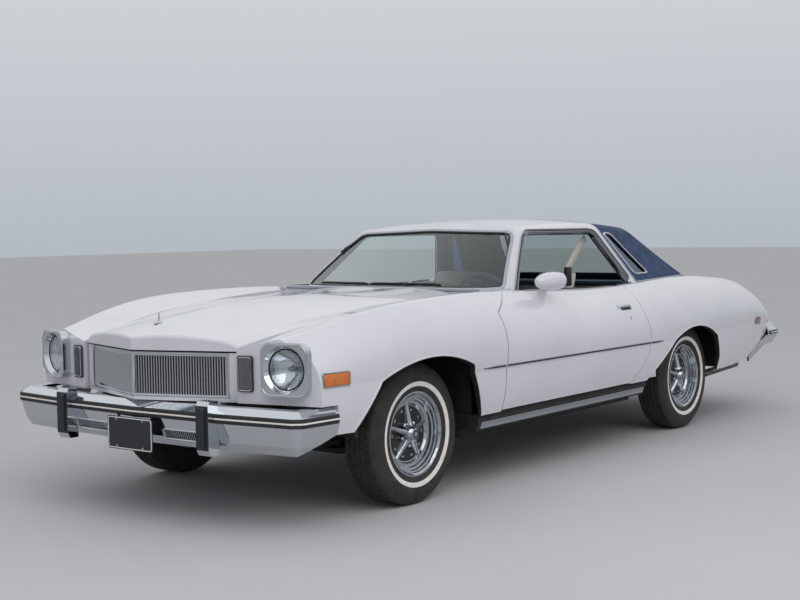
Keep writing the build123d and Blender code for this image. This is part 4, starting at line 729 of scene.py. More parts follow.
def from_left(tree, places):
    """Points and normals on a tree at some x, z places, found with rays from the car's left."""
    return cast(tree, [(x, BESIDE, z) for x, z in places], (0, -1, 0))


def on_side(places):
    """Points and normals on the left body side at some x, z places."""
    return from_left(side_tree, places)


def strip_on(hit, places, section, lift=0.0, closed=False, scale=None):
    """Trim section carried along places on a surface, with its height along the surface's normal."""
    points, normals = hit(places)
    return carry(section, points + normals * lift, up=normals, closed=closed, scale=scale)


def skin_plate(hit, first, second, low, high, lift, crown=0.0, shape=(14, 8)):
    """Crowned plate on a surface: a grid of places is cast on it and raised by a lift, plus a crown that
    falls to nothing at the border, where a second ring of points at the same places drops below it."""
    u, v = np.meshgrid(np.concatenate([[0], np.linspace(0, 1, shape[0]), [1]]),
                       np.concatenate([[0], np.linspace(0, 1, shape[1]), [1]]), indexing="ij")
    places = np.stack([first + u * (second - first), low + v * (high - low)], axis=-1).reshape(-1, 2)
    points, normals = hit(places)
    rise = lift + crown * (1 - (2 * u - 1) ** 2) * (1 - (2 * v - 1) ** 2)
    rise[[0, -1], :] = -0.003
    rise[:, [0, -1]] = -0.003
    return grid((points + normals * rise.reshape(-1, 1)).reshape(*u.shape, 3))


# Wheels and tyres

# Sections as rows of (along, radius). The tyre's is one half, from the bead out and up to the tread.
TYRE_SIDE = [(0.0802, 0.1915), (0.0815, 0.2035), (0.0868, 0.2095), (0.0874, 0.2120), (0.0888, 0.2140),
             (0.0915, 0.2240), (0.0955, 0.2400), (0.0985, 0.2550), (0.0994, 0.2660), (0.0984, 0.2790),
             (0.0962, 0.2870), (0.0966, 0.2890), (0.0952, 0.2920), (0.0915, 0.3050), (0.0860, 0.3170),
             (0.0790, 0.3262), (0.0735, 0.3318), (0.0620, 0.3312)]
RING = [(-0.088, 0.2030), (-0.088, 0.1860), (-0.070, 0.1840), (-0.045, 0.1610), (0.020, 0.1600),
        (0.020, 0.1340), (0.0305, 0.1340), (0.0320, 0.1380), (0.0420, 0.1440), (0.0435, 0.1560),
        (0.0445, 0.1590), (0.0560, 0.1620), (0.0575, 0.1700), (0.0585, 0.1725), (0.0690, 0.1750),
        (0.0705, 0.1820), (0.0715, 0.1840), (0.0800, 0.1860), (0.0830, 0.1900), (0.0875, 0.1950),
        (0.0880, 0.2000), (0.0868, 0.2034), (0.0815, 0.2038), (0.0812, 0.1900), (0.0450, 0.1880),
        (0.0250, 0.1700), (-0.0420, 0.1700), (-0.0660, 0.1905), (-0.0820, 0.1905), (-0.0822, 0.2030)]
CAP = [(0.030, 0.046), (0.040, 0.0445), (0.058, 0.0425), (0.072, 0.0370), (0.079, 0.0300), (0.0825, 0.0275),
       (0.0852, 0.0225), (0.0860, 0.0150), (0.0866, 0.0080), (0.0868, 0.0)]
CAP_RING = [(0.0845, 0.0215), (0.0862, 0.0210), (0.0871, 0.0165), (0.0862, 0.0125), (0.0850, 0.0120)]
DISH = [(0.010, 0.030), (0.010, 0.1360), (0.0290, 0.1360), (0.0310, 0.1250), (0.0290, 0.1000),
        (0.0290, 0.030)]
NUT = [(0.028, 0.0105), (0.046, 0.0105), (0.0505, 0.0085), (0.0525, 0.0052), (0.0528, 0.0)]
WHITE_BAND = [(0.0920, 0.2285), (0.0938, 0.2300), (0.0963, 0.2400), (0.0985, 0.2500), (0.0982, 0.2515),
              (0.0950, 0.2400)]
SPOKES = 5


def tread(count=360, across=47):
    """Tread ring as a grid over the angle and the way across. The radius is the crown's, 0.338 less 1.6 mm
    times the square of the way across, less 7 mm in four grooves whose middles swing in triangles, less 4 mm
    in slanted cuts."""
    way = np.concatenate([[-0.0695], np.linspace(-0.0685, 0.0685, across), [0.0695]])
    angle = np.linspace(0, 2 * math.pi, count, endpoint=False)
    theta, s = np.meshgrid(angle, way, indexing="ij")
    swing = 0.0022 * (2 * np.abs(((theta * 45 / math.pi) % 2) - 1) - 1)
    depth = np.zeros_like(s)
    for middle in (-0.042, -0.014, 0.014, 0.042):
        depth = np.maximum(depth, 0.007 * (np.abs(s - middle - swing) < 0.0036))
    cut = ((theta * 60 / (2 * math.pi) + s * 14.0) % 1.0) < 0.17
    depth = np.maximum(depth, 0.004 * (cut & (np.abs(s) < 0.066)))
    radius = 0.338 - 0.0016 * (s / 0.068) ** 2 - depth
    radius = np.where(np.abs(s) > 0.069, 0.326, radius)
    return grid(np.stack([s, radius * np.cos(theta), radius * np.sin(theta)], axis=-1), wrap_rows=True)


def spoke(hub_r=0.040, rim_r=0.156):
    """One arm of the wheel as a grid over its length and its way across. Half its width goes from 23 mm at
    the hub to 11 mm at the rim, and its top falls from 66 to 39 mm out, as an arch with steep sides."""
    t, s = np.meshgrid(np.linspace(0, 1, 12), np.linspace(-1, 1, 11), indexing="ij")
    radius = hub_r + t * (rim_r - hub_r)
    half = 0.023 - 0.012 * t**0.6
    top = 0.039 + 0.027 * (1 - t) ** 1.5
    rise = 0.029 + (top - 0.029) * (1 - np.abs(s) ** 2.6)
    return grid(np.stack([rise, s * half, radius], axis=-1))


def around(turn):
    """Direction from a wheel's middle at an angle in its own plane."""
    return np.array((math.cos(turn), 0.0, math.sin(turn)))


def slot_rims(centre, axis, turn):
    """Two short ribs on the dish between two arms, thinner towards their ends."""
    made = []
    size = np.sin(np.linspace(0.25, math.pi - 0.25, 9)) ** 0.5
    for aside in (-0.30, 0.30):
        out = around(turn + aside)
        rim = np.array((-out[2], 0.0, out[0]))
        path = centre + out * 0.113 + axis * 0.0305 + rim * np.linspace(-0.0085, 0.0085, 9)[:, None]
        made.append(carry(half_round(0.011, 0.003), path, up=axis, scale=size))
    return made


def wheels():
    """Each wheel in its tyre: stepped bright ring, black dish, five arms, nuts, slots and cap."""
    half = np.array(TYRE_SIDE)
    section = np.vstack([half, (half * (-1, 1))[::-1]])
    turns = [math.radians(90 + 360 / SPOKES * index) for index in range(SPOKES)]
    between = [turn + math.radians(180 / SPOKES) for turn in turns]
    for place, (x, y) in WHEEL_PLACES.items():
        centre = np.array((x, y, AXLE_Z))
        axis = np.array((0.0, math.copysign(1.0, y), 0.0))
        carcass = lathe(section, centre, axis, 120, closed=True)
        arms = together(*[placed(spoke(), centre, axis, around(turn)) for turn in turns])
        nuts = together(*[lathe(NUT, centre + around(turn) * 0.0572, axis, 6) for turn in between])
        slots = together(*[rim for turn in between for rim in slot_rims(centre, axis, turn)])
        ring = lathe(RING, centre, axis, 96, closed=True)
        dish = lathe(DISH, centre, axis, 72, closed=True)
        cap_ring = lathe(CAP_RING, centre, axis, 48, closed=True)
        white = lathe(WHITE_BAND, centre, axis, 120, closed=True)
        parts = (("tyre", "carcass", carcass, tyre_rubber, 40),
                 ("tyre", "tread", placed(tread(), centre, axis), tyre_rubber, 30),
                 ("tyre", "white_band", white, white_rubber, 32), ("wheel", "ring", ring, wheel_chrome, 28),
                 ("wheel", "dish", dish, wheel_black, 32), ("wheel", "arms", arms, wheel_chrome, 50),
                 ("wheel", "nuts", nuts, chrome, 20), ("wheel", "slot_rims", slots, wheel_chrome, 32),
                 ("wheel", "cap", lathe(CAP, centre, axis, 64), wheel_chrome, 25),
                 ("wheel", "cap_ring", cap_ring, wheel_black, 32))
        for kind, name, shell, material, crease in parts:
            slot = "tyre_rubber" if kind == "tyre" else "wheel_chrome"
            made = piece(f"{kind}_{place}_{name}", shell, material, f"wheel_{place}", slot, crease)
            if name in ("carcass", "ring"):
                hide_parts(f"{kind}_{place}")


wheels()


# Bumpers, guards and plate

FRONT_LINE = [(2.6300, 0.0), (2.6120, 0.480), (2.5600, 0.925), (2.5300, 0.958), (2.3200, 0.9735)]
REAR_LINE = [(-2.6320, 0.0), (-2.6200, 0.480), (-2.5880, 0.890), (-2.5560, 0.926), (-2.4100, 0.9350)]


def bumper_strips():
    """Black rubber strip with a thin white line along each bumper's plan line, on both sides."""
    for name, line, z, half in (("front", FRONT_LINE, 0.505, 0.0205), ("rear", REAR_LINE, 0.5325, 0.0125)):
        left = np.array([(x, y, z) for x, y in along(line, 70)])
        path = np.vstack([(left * (1, -1, 1))[::-1], left[1:]])
        if name == "rear":
            path = path[::-1]
        strip = [(-0.003, -half), (0.004, -half), (0.0072, -half + 0.004), (0.0080, -0.005),
                 (0.0072, -0.0040), (0.0072, 0.0040), (0.0080, 0.005), (0.0072, half - 0.004), (0.004, half),
                 (-0.003, half)]
        white = [(0.004, -0.0036), (0.0082, -0.0036), (0.0082, 0.0036), (0.004, 0.0036)]
        piece(f"{name}_bumper_strip", carry(strip, path), black_rubber)
        piece(f"{name}_bumper_white_line", carry(white, path), white_rubber, slot="black_rubber")


def bumper_slots():
    """Recessed slot on each side of the plate: a chrome surround, fine upright ribs, and a dark back."""
    def face_x(y, z):
        return 2.6300 - 0.0375 * y - np.interp(z, [0.36, 0.40, 0.486], [0.046, 0.022, 0.0])

    y0, y1, z0, z1 = 0.182, 0.438, 0.389, 0.435
    outline = round_corners([(y0, z0), (y1, z0), (y1, z1), (y0, z1)], 0.010)
    path = [(face_x(y, z) + 0.0005, y, z) for y, z in outline]
    surround = carry(half_round(0.009, 0.004), path, up=(0.97, 0, -0.25), closed=True)
    rib = even([(0.0016, -0.006), (0.0016, 0.0), (0.0007, 0.002)])
    ribs = []
    for y in np.arange(y0 + 0.008, y1 - 0.004, 0.012):
        bar = [(face_x(y, z) - 0.004, y, z) for z in (z0, (z0 + z1) / 2, z1)]
        ribs.append(carry(rib, bar, up=(1, 0, 0)))
    back = block((2.556, y0 - 0.006, z0 - 0.006), (2.562, y1 + 0.006, z1 + 0.006))
    piece("bumper_slot_surrounds", both_sides(surround), chrome)
    piece("bumper_slot_ribs", both_sides(together(*ribs)), chrome)
    piece("bumper_slot_backs", both_sides(back), chassis_black)


def plate_border():
    """Raised pale border, four screws and a pressed step on the blank plate."""
    x = 2.6490
    outline = [(x + 0.0006, y, 0.402 + z) for y, z in rounded_rectangle(0.293, 0.140, 0.010)]
    border = carry(half_round(0.004, 0.0016), outline, up=(1, 0, 0), closed=True)
    piece("plate_border", border, white_rubber, slot="plate_paint")
    screw = [(0.0, 0.0062), (0.0020, 0.0058), (0.0030, 0.0040), (0.0031, 0.0)]
    screws = [lathe(screw, (x, side * 0.0889, 0.402 + end * 0.062), (1, 0, 0), 20)
              for side in (1, -1) for end in (1, -1)]
    piece("plate_screws", together(*screws), stainless)


bumper_strips()
bumper_slots()
plate_border()


# Grille and lamps

def grille_trim():
    """Bright header of two beads with a dark groove between them, a bright bar along the foot, and the middle
    rib of the pointed grille.
    """
    half = 0.470
    path = np.array([(2.6205 - NOSE_SWEEP * abs(y), y, 0.7695) for y in np.linspace(half, -half, 81)])
    bead = carry(half_round(0.0050, 0.0030), path, up=(1, 0, 0))
    second = carry(half_round(0.0035, 0.0022), path - (0, 0, 0.0085), up=(1, 0, 0))
    lower = carry(half_round(0.0060, 0.0030), path * (1, 1, 0) + (0, 0, 0.5800), up=(1, 0, 0))
    piece("grille_header", together(bead, second, lower), chrome)
    middle = [(2.6180, 0.0, z) for z in np.linspace(0.584, 0.766, 9)]
    rib = carry(even([(0.0065, -0.010), (0.0050, 0.0), (0.0016, 0.0060)]), middle, up=(1, 0, 0))
    piece("grille_middle_rib", rib, chrome)


LAMP_TURN = math.atan(LAMP_SWEEP)
LAMP_AHEAD = np.array((math.cos(LAMP_TURN), math.sin(LAMP_TURN), 0.0))


def lamp_x(y):
    """Where the slanted lamp face is, along the car, at a place across it."""
    return 2.470 - (y - 0.560) * LAMP_SWEEP


def lamp_piece(name, shell, origin, material, slot="lamp_glass", crease=32.0):
    """Piece on both sides from a shell in a lamp's own frame, whose X stands out of the slanted lamp face."""
    return piece(name, both_sides(placed(shell, origin, LAMP_AHEAD)), material, slot=slot, crease=crease)


def headlamps():
    """Sealed lamp: a silvered bowl whose depth falls with the square of the radius, a bulb shield, a black
    ring that is painted shade between the lens and the bezel, and a glass lens. The lens stands out 14.5 mm
    times (1 - (r / 88 mm)^2), less flutes that are the size of a sine: 0.9 mm every 11 mm across and 0.4 mm
    every 19 mm up."""
    origin = np.array((lamp_x(0.783), 0.783, 0.716))
    radius = np.linspace(0.0855, 0.0, 14)
    bowl = np.vstack([[(-0.070, 0.0), (-0.070, 0.036), (-0.028, 0.0888), (0.0135, 0.0888), (0.0135, 0.0858)],
                      np.stack([-0.042 + 0.052 * (radius / 0.0855) ** 2, radius], axis=1)])
    made = lamp_piece("headlamp_bowls", lathe(bowl, (0, 0, 0), (1, 0, 0), 64), origin, chrome, crease=35)
    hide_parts("headlamps")
    shield = lathe([(-0.036, 0.0100), (-0.020, 0.0120), (-0.012, 0.0110), (-0.006, 0.0060), (-0.005, 0.0)],
                   (0, 0, 0), (1, 0, 0), 24)
    lamp_piece("headlamp_shields", shield, origin, stainless)
    r, angle = np.meshgrid(np.linspace(0.0870, 0.0, 40), np.linspace(0, 2 * math.pi, 144, endpoint=False),
                           indexing="ij")
    across, upward = r * np.cos(angle), r * np.sin(angle)
    upright = 0.0009 * np.abs(np.sin(math.pi * across / 0.011))
    level = 0.0004 * np.abs(np.sin(math.pi * upward / 0.019))
    front = 0.016 + 0.0145 * (1 - (r / 0.088) ** 2) - (upright + level) * (r < 0.080)
    back = front - 0.0045
    outer = np.stack([front, across, upward], axis=-1)
    inner = np.stack([back, across, upward], axis=-1)[::-1]
    lens = grid(np.concatenate([inner, outer]), wrap_columns=True)
    lamp_piece("headlamp_lenses", lens, origin, lamp_glass, crease=60)
    # The ring is black as painted shade: it stands for the shadow between the lens and the bezel.
    ring = lathe([(0.0120, 0.0893), (0.0180, 0.0890), (0.0195, 0.0872), (0.0185, 0.0852), (0.0120, 0.0850)],
                 (0, 0, 0), (1, 0, 0), 80, closed=True)
    lamp_piece("headlamp_shadow_rings", ring, origin, wheel_black, "dark_paint")
    step = [(0.0408, y, z) for y, z in rounded_rectangle(0.222, 0.222, 0.042, 7)]
    bead = carry(half_round(0.0050, 0.0022), step, up=(1, 0, 0), closed=True)
    lamp_piece("headlamp_bezel_beads", bead, origin, chrome, "chrome_trim")


def parking_lamps():
    """Upright clear lens in a bright frame, beside the grille: a flat rectangle with flutes of 1 mm every 5.7
    mm across, as the size of a sine, and a middle rib 3 mm proud."""
    origin = np.array((lamp_x(0.572), 0.572, 0.690))
    u, v = np.meshgrid(np.linspace(-0.5, 0.5, 49), np.linspace(-0.5, 0.5, 31), indexing="ij")
    y, z = u * 0.057, v * 0.137
    edge = np.maximum(np.abs(u), np.abs(v)) > 0.4999
    front = 0.0160 + 0.0010 * np.abs(np.sin(math.pi * y / 0.0057)) + 0.0030 * (np.abs(y) < 0.0030)
    front = np.where(edge, 0.0120, front)
    outer = grid(np.stack([front, y, z], axis=-1))
    inner = grid(np.stack([np.full_like(y, 0.0118), y, z], axis=-1)[::-1])
    lamp_piece("parking_lamp_lenses", together(outer, inner), origin, lamp_glass)
    back_line = [(0.0102, 0.0, z) for z in np.linspace(-0.048, 0.048, 9)]
    strip = carry(half_round(0.016, 0.0013, 0.001), back_line, up=(1, 0, 0))
    lamp_piece("parking_lamp_reflectors", strip, origin, chrome)
    for name, width, wide, height, made in (("frames", 0.066, 0.0060, 0.0056, chrome),
                                            ("seals", 0.075, 0.0050, 0.0042, black_rubber)):
        path = [(0.0100, y, z) for y, z in rounded_rectangle(width, width + 0.080, 0.009)]
        bead = carry(half_round(wide, height), path, up=(1, 0, 0), closed=True)
        lamp_piece(f"parking_lamp_{name}", bead, origin, made, "chrome_trim")


grille_trim()
headlamps()
parking_lamps()


# Body side trim

def side_moulding():
    """Thin bright strip with a dark insert along the widest line, in three parts so that the door opens."""
    parts = (("fender", 1.250, 1.0475, "body"), ("door", 1.0375, -0.4925, "door"),
             ("quarter", -0.5085, -0.664, "body"))
    for name, front, rear, owner in parts:
        x = np.linspace(front, rear, max(8, int((front - rear) / 0.03)))
        places = np.stack([x, 0.610 + (x + 0.664) * 0.0047], axis=1)
        size = np.ones(len(x))
        if name == "fender":
            size = taper(len(x), 0.25, 1.0)
        if name == "quarter":
            size = taper(len(x), 1.0, 0.25)
        bright = strip_on(on_side, places, half_round(0.0135, 0.0042), scale=size)
        insert = strip_on(on_side, places, half_round(0.0085, 0.0022, 0.001), 0.0036, scale=size)
        on_each_side([(f"side_moulding_{name}", bright, stainless),
                      (f"side_moulding_insert_{name}", insert, black_rubber)], owner)


def door_handles():
    """Pull handles: a flat bright flap over a thin black plate that is painted shade in the finger slot, on
    two feet, with a key lock below.
    """
    x = np.linspace(-0.208, -0.352, 25)
    t = np.linspace(-1, 1, 25)
    points, normals = on_side([(value, 0.838) for value in x])
    lift = 0.004 + 0.008 * (1 - np.abs(t) ** 4)
    bar = carry(half_round(0.019, 0.0050, 0.003), points + normals * lift[:, None], up=normals,
                scale=taper(25, 0.75, 0.75, 3))
    feet = [skin_plate(on_side, centre - 0.013, centre + 0.013, 0.827, 0.849, 0.0040, 0.002)
            for centre in (-0.217, -0.343)]
    # Painted shade: a thin black plate below the flap stands for the shadow in the finger slot.
    painted_shade_plate = skin_plate(on_side, -0.346, -0.232, 0.8175, 0.8300, 0.0012)
    lock_at, lock_normal = on_side([(-0.296, 0.772)])
    lock = lathe([(-0.002, 0.0105), (0.0030, 0.0105), (0.0042, 0.0090), (0.0038, 0.0070), (0.0030, 0.0065),
                  (0.0034, 0.0)], lock_at[0], lock_normal[0], 32)
    slit = placed(block((0.0030, -0.0008, -0.0042), (0.0040, 0.0008, 0.0042)), lock_at[0], lock_normal[0])
    on_each_side([("door_handle", together(bar, *feet), chrome),
                  ("door_handle_recess", together(painted_shade_plate, slit), black_rubber), ("door_lock", lock, chrome)])


def marker(name, front, rear, low, high, lens, slant=0.0):
    """Side marker lamp: a prismatic lens in a bright frame."""
    def hit(places):
        shifted = [(x, z + slant * (x - (front + rear) / 2)) for x, z in places]
        return on_side(shifted)

    plate = skin_plate(hit, rear + 0.004, front - 0.004, low + 0.004, high - 0.004, 0.0062, 0.002)
    outline = round_corners([(rear, low), (front, low), (front, high), (rear, high)], 0.007)
    rim = strip_on(hit, outline, half_round(0.0085, 0.0068), closed=True)
    piece(f"{name}_marker_lenses", both_sides(plate), lens, slot="red_lens")
    piece(f"{name}_marker_frames", both_sides(rim), stainless)


ARCHES = {"front": [(2.192, 0.408), (2.005, 0.632), (1.650, 0.714), (1.334, 0.648), (1.234, 0.402)],
          "rear": [(-0.545, 0.408), (-0.838, 0.604), (-1.150, 0.668), (-1.440, 0.590), (-1.500, 0.455)]}


def arch_lips():
    """Rolled edge round each wheel opening: a low bead just outside the edge, from foot to foot."""
    for name, outline in ARCHES.items():
        foot, fore, top, aft, heel = [np.array(point) for point in outline]
        arc = circle_through(fore, top, aft, 40)
        path = np.vstack([along([foot, fore], 12)[:-1], arc, along([aft, heel], 10)[1:]])
        middle = np.array([(fore[0] + aft[0]) / 2, 0.40])
        out = path - middle
        path = path + 0.0050 * out / np.linalg.norm(out, axis=1, keepdims=True)
        bead = strip_on(on_side, path, half_round(0.0090, 0.0030), scale=taper(len(path), 0.4, 0.4))
        piece(f"{name}_arch_lips", both_sides(bead), white_enamel, crease=50)


def rocker_strip():
    """Bright strip low on each sill, from wheel to wheel, with rolled upper and lower edges."""
    x = np.linspace(1.200, -0.500, 60)
    section = even([(0.017, -0.004), (0.0175, 0.0030), (0.0150, 0.0042), (0.0120, 0.0026)])
    points = [(value, 0.9345, 0.3285) for value in x]
    tilt = np.array((0.0, 0.964, -0.268))
    piece("rocker_strips", both_sides(carry(section, points, up=tilt)), stainless)


side_moulding()
door_handles()
marker("front", 2.375, 2.220, 0.640, 0.698, amber_lens)
marker("rear", -2.110, -2.212, 0.612, 0.660, red_lens, 0.06)
arch_lips()
rocker_strip()


# Cabin trim

SCREEN_EDGE = [(-0.698, 0.9905), (0.698, 0.9905), (0.566, 1.250), (0.532, 1.276), (0.0, 1.292),
               (-0.532, 1.276), (-0.566, 1.250)]
BACK_EDGE = even([(0.610, 0.985), (0.480, 1.262)])
SIDE_EDGE = [(0.566, 0.956), (0.262, 1.246), (0.215, 1.270), (-0.470, 1.270), (-0.512, 1.250),
             (-0.686, 0.968)]
OPERA_EDGE = [(-0.650, 1.260), (-0.724, 1.254), (-0.982, 1.012), (-0.828, 1.012), (-0.806, 1.026)]


def from_front(outline, start_x):
    """Points and normals on the cabin for places (y, z), found with rays along the car."""
    direction = (-1, 0, 0) if start_x > 0 else (1, 0, 0)
    return cast(roof_tree, [(start_x, y, z) for y, z in outline], direction)


def screen_trims():
    """Bright reveal round the windscreen and the rear window, with a black sealing lip inside it."""
    for name, edge, start, corner in (("windscreen", SCREEN_EDGE, 1.30, 0.03),
                                      ("backlight", BACK_EDGE, -2.2, 0.05)):
        outline = spaced(round_corners(offset_outline(edge, 0.0095), corner), 0.012)
        points, normals = from_front(outline, start)
        reveal = carry(half_round(0.0215, 0.0052), points, up=normals, closed=True)
        piece(f"{name}_reveal", reveal, stainless, crease=50)
        inner = spaced(round_corners(offset_outline(edge, 0.0018), corner), 0.012)
        points, normals = from_front(inner, start)
        lip = carry(half_round(0.0110, 0.0016, 0.010), points, up=normals, closed=True)
        piece(f"{name}_seal", lip, black_rubber, crease=50)


def side_window_trims():
    """Trims round the side window's opening, from the inside out: a thin bright line, a grey channel that is
    wider on the rear leg, a black seal, and the bright drip moulding."""
    edge = np.array(SIDE_EDGE)
    outline = spaced(round_path(edge, 0.035), 0.012, closed=False)
    middle = np.array((-0.08, 1.08))

    def outside(distance):
        tangent = np.gradient(outline, axis=0)
        normal = np.stack([tangent[:, 1], -tangent[:, 0]], axis=1)
        normal = normal / np.linalg.norm(normal, axis=1, keepdims=True)
        normal = normal * np.sign(((outline - middle) * normal).sum(axis=1, keepdims=True))
        return outline + normal * np.asarray(distance, float).reshape(-1, 1)

    wide = 1 + 0.9 * np.clip((-0.47 - outline[:, 0]) / 0.05, 0, 1)
    bands = (("inner_lines", 0.0015, 0.0030, 0.0030, stainless, "chrome_trim"),
             ("channels", 0.0030, 0.0110, 0.0045, satin_aluminium, "chrome_trim"),
             ("seals", 0.0145, 0.0040, 0.0050, black_rubber, "black_rubber"),
             ("drips", 0.0195, 0.0080, 0.0068, stainless, "chrome_trim"))
    for name, start, width, height, made, slot in bands:
        middle_at = start + (width / 2 if name != "inner_lines" else 0.0)
        points, normals = from_left(cabin_tree, outside(middle_at * wide))
        size = wide if name == "channels" else np.ones(len(wide))
        section = half_round(width, height, 0.018 if name == "inner_lines" else 0.003)
        band = carry(section, points, up=normals, scale=size * taper(len(points), 0.7, 0.7))
        piece(f"side_window_{name}", both_sides(band), made, slot=slot, crease=50)


def belt_strips():
    """Rubber lip along the window's sill with a bright line outside it, on each door and each quarter."""
    sill = tree_of("door_left", "quarter_panels")
    for name, owner, front, rear in (("door", "door", 0.545, -0.425), ("quarter", "body", -0.470, -0.662)):
        x = np.linspace(front, rear, max(8, int((front - rear) / 0.03)))
        lip_at, _ = cast(sill, [(value, 0.7735, 1.2) for value in x], (0, 0, -1))
        line_at, _ = cast(sill, [(value, 0.7860, 1.2) for value in x], (0, 0, -1))
        lip = carry([(-0.004, -0.003), (0.004, -0.003), (0.0035, 0.008), (0.0015, 0.011), (-0.0015, 0.011),
                     (-0.004, 0.008)], lip_at, scale=taper(len(x), 0.8, 0.8))
        line = carry(half_round(0.0060, 0.0032), line_at, scale=taper(len(x), 0.5, 0.5))
        on_each_side([(f"belt_lip_{name}", lip, black_rubber), (f"belt_line_{name}", line, stainless)], owner)


def vinyl_trims():
    """Bright strips where the vinyl starts on the roof and along its foot, and the opera windows' frames."""
    def split_x(z):
        return -0.800 + (z - 0.940) * (0.206 / 0.360)

    z = np.linspace(0.962, 1.262, 28)
    low, low_normals = from_left(cabin_tree, [(split_x(value) + 0.004, value) for value in z])
    y = np.linspace(low[-1][1] - 0.012, 0.0, 36)
    over = []
    over_normals = []
    for value in y:
        place = 1.30
        for _ in range(4):
            hit, normal = cast(cabin_tree, [(split_x(place) + 0.004, value, 1.6)], (0, 0, -1))
            place = hit[0][2]
        over.append(hit[0])
        over_normals.append(normal[0])
    half = np.vstack([low, over])
    half_normals = np.vstack([low_normals, over_normals])
    path = np.vstack([half, (half * (1, -1, 1))[::-1][1:]])
    normals = np.vstack([half_normals, (half_normals * (1, -1, 1))[::-1][1:]])
    path = smooth_line(path, 3)
    piece("vinyl_edge_trim", carry(half_round(0.0130, 0.0045), path, up=normals), stainless, crease=50)
    x = np.linspace(-0.792, -1.470, 50)
    foot_line = [(value, 0.9585 + 0.016 * (value + 0.792) / -0.678) for value in x]
    foot = strip_on(lambda places: from_left(cabin_tree, places), foot_line, half_round(0.0120, 0.0045))
    piece("vinyl_foot_trims", both_sides(foot), stainless, crease=50)
    outline = spaced(round_corners(offset_outline(OPERA_EDGE, 0.0055), 0.020), 0.008)
    points, normals = from_left(cabin_tree, outline)
    bead = carry(half_round(0.0130, 0.0060), points, up=normals, closed=True)
    piece("opera_frames", both_sides(bead), chrome, crease=50)
    inner = spaced(round_corners(offset_outline(OPERA_EDGE, -0.001), 0.018), 0.008)
    points, normals = from_left(tree_of("opera_windows", "vinyl_roof_rear"), inner)
    seal = carry(half_round(0.0090, 0.0030, 0.002), points, up=normals, closed=True)
    piece("opera_seals", both_sides(seal), black_rubber, crease=50)


screen_trims()
side_window_trims()
belt_strips()
vinyl_trims()


# Seats and cabin

def pillow(half_x, half_y, top, bottom, channels=(), roll=0.0, groove=0.006, pull=0.05, count=(46, 64)):
    """Padded form in a local frame: two sheets that meet at a rim. Their height is top or bottom times ((1 -
    |u|^5) (1 - |v|^5))^0.42. The top has grooves of a bell section at the channels' places across, swells of
    6 mm as a sine^0.6 between them, waves of 1.6 mm, and a roll of a bell section near its far end. The sides
    are pulled in towards their middles by a share."""
    u = np.sin(np.linspace(-math.pi / 2, math.pi / 2, count[0]))
    v = np.sin(np.linspace(-math.pi / 2, math.pi / 2, count[1]) * 0.999)
    v = v / v[-1]
    u, v = np.meshgrid(u, v, indexing="ij")
    x = half_x * u * (1 - 0.06 * v**6 - pull * (1 - v**2) * 0.3)
    y = half_y * v * (1 - 0.05 * u**6 - pull * (1 - u**2) * 0.3)
    fall = (np.clip(1 - np.abs(u) ** 5, 0, 1) * np.clip(1 - np.abs(v) ** 5, 0, 1)) ** 0.42
    sunk = np.zeros_like(u)
    for place in channels:
        sunk = np.maximum(sunk, np.exp(-(((y - place) / 0.0075) ** 2)))
    swell = np.zeros_like(u)
    edges = [-half_y, *channels, half_y]
    for low, high in zip(edges[:-1], edges[1:]):
        inside = (y >= low) & (y <= high)
        swell = np.where(inside, np.sin(math.pi * np.clip((y - low) / (high - low), 0, 1)) ** 0.6, swell)
    wave = 0.0016 * np.sin(31 * x + 9 * y) * np.sin(23 * y + 4)
    upper = fall * (top - groove * sunk + 0.006 * swell + wave + roll * np.exp(-(((u - 0.82) / 0.14) ** 2)))
    lower = -bottom * fall
    points = np.concatenate([np.stack([x, y, upper], axis=-1), np.stack([x, y, lower], axis=-1)[::-1]])
    return grid(points)


def welt(half_x, half_y, radius=0.0042, pull=0.05):
    """Round piping cord along the rim of a pillow, which is pillow()'s x and y where u or v is 1 or -1."""
    turn = np.linspace(-1, 1, 30)
    one = np.ones(30)
    u = np.concatenate([turn, one, turn[::-1], -one])
    v = np.concatenate([-one, turn, one, turn[::-1]])
    u, v = np.sin(u * math.pi / 2), np.sin(v * math.pi / 2)
    x = half_x * u * (1 - 0.06 * v**6 - pull * (1 - v**2) * 0.3)
    y = half_y * v * (1 - 0.05 * u**6 - pull * (1 - u**2) * 0.3)
    path = np.stack([x, y, np.zeros_like(x)], axis=1)
    keep = np.linalg.norm(path - np.roll(path, 1, axis=0), axis=1) > 1e-5
    return carry(circle(radius, 8), path[keep], closed=True)


def pad(name, half_x, half_y, top, bottom, origin, forward, up, channels=(), roll=0.0,
        side="left"):
    """Upholstered pad with its piping, put in place."""
    body_shell = placed(pillow(half_x, half_y, top, bottom, channels, roll), origin, forward, up)
    cord_shell = placed(welt(half_x, half_y), origin, forward, up)
    made = piece(name, to_side(side, body_shell), seat_vinyl, crease=60)
    piece(f"{name}_piping", to_side(side, cord_shell), seat_vinyl, crease=60)
    return made


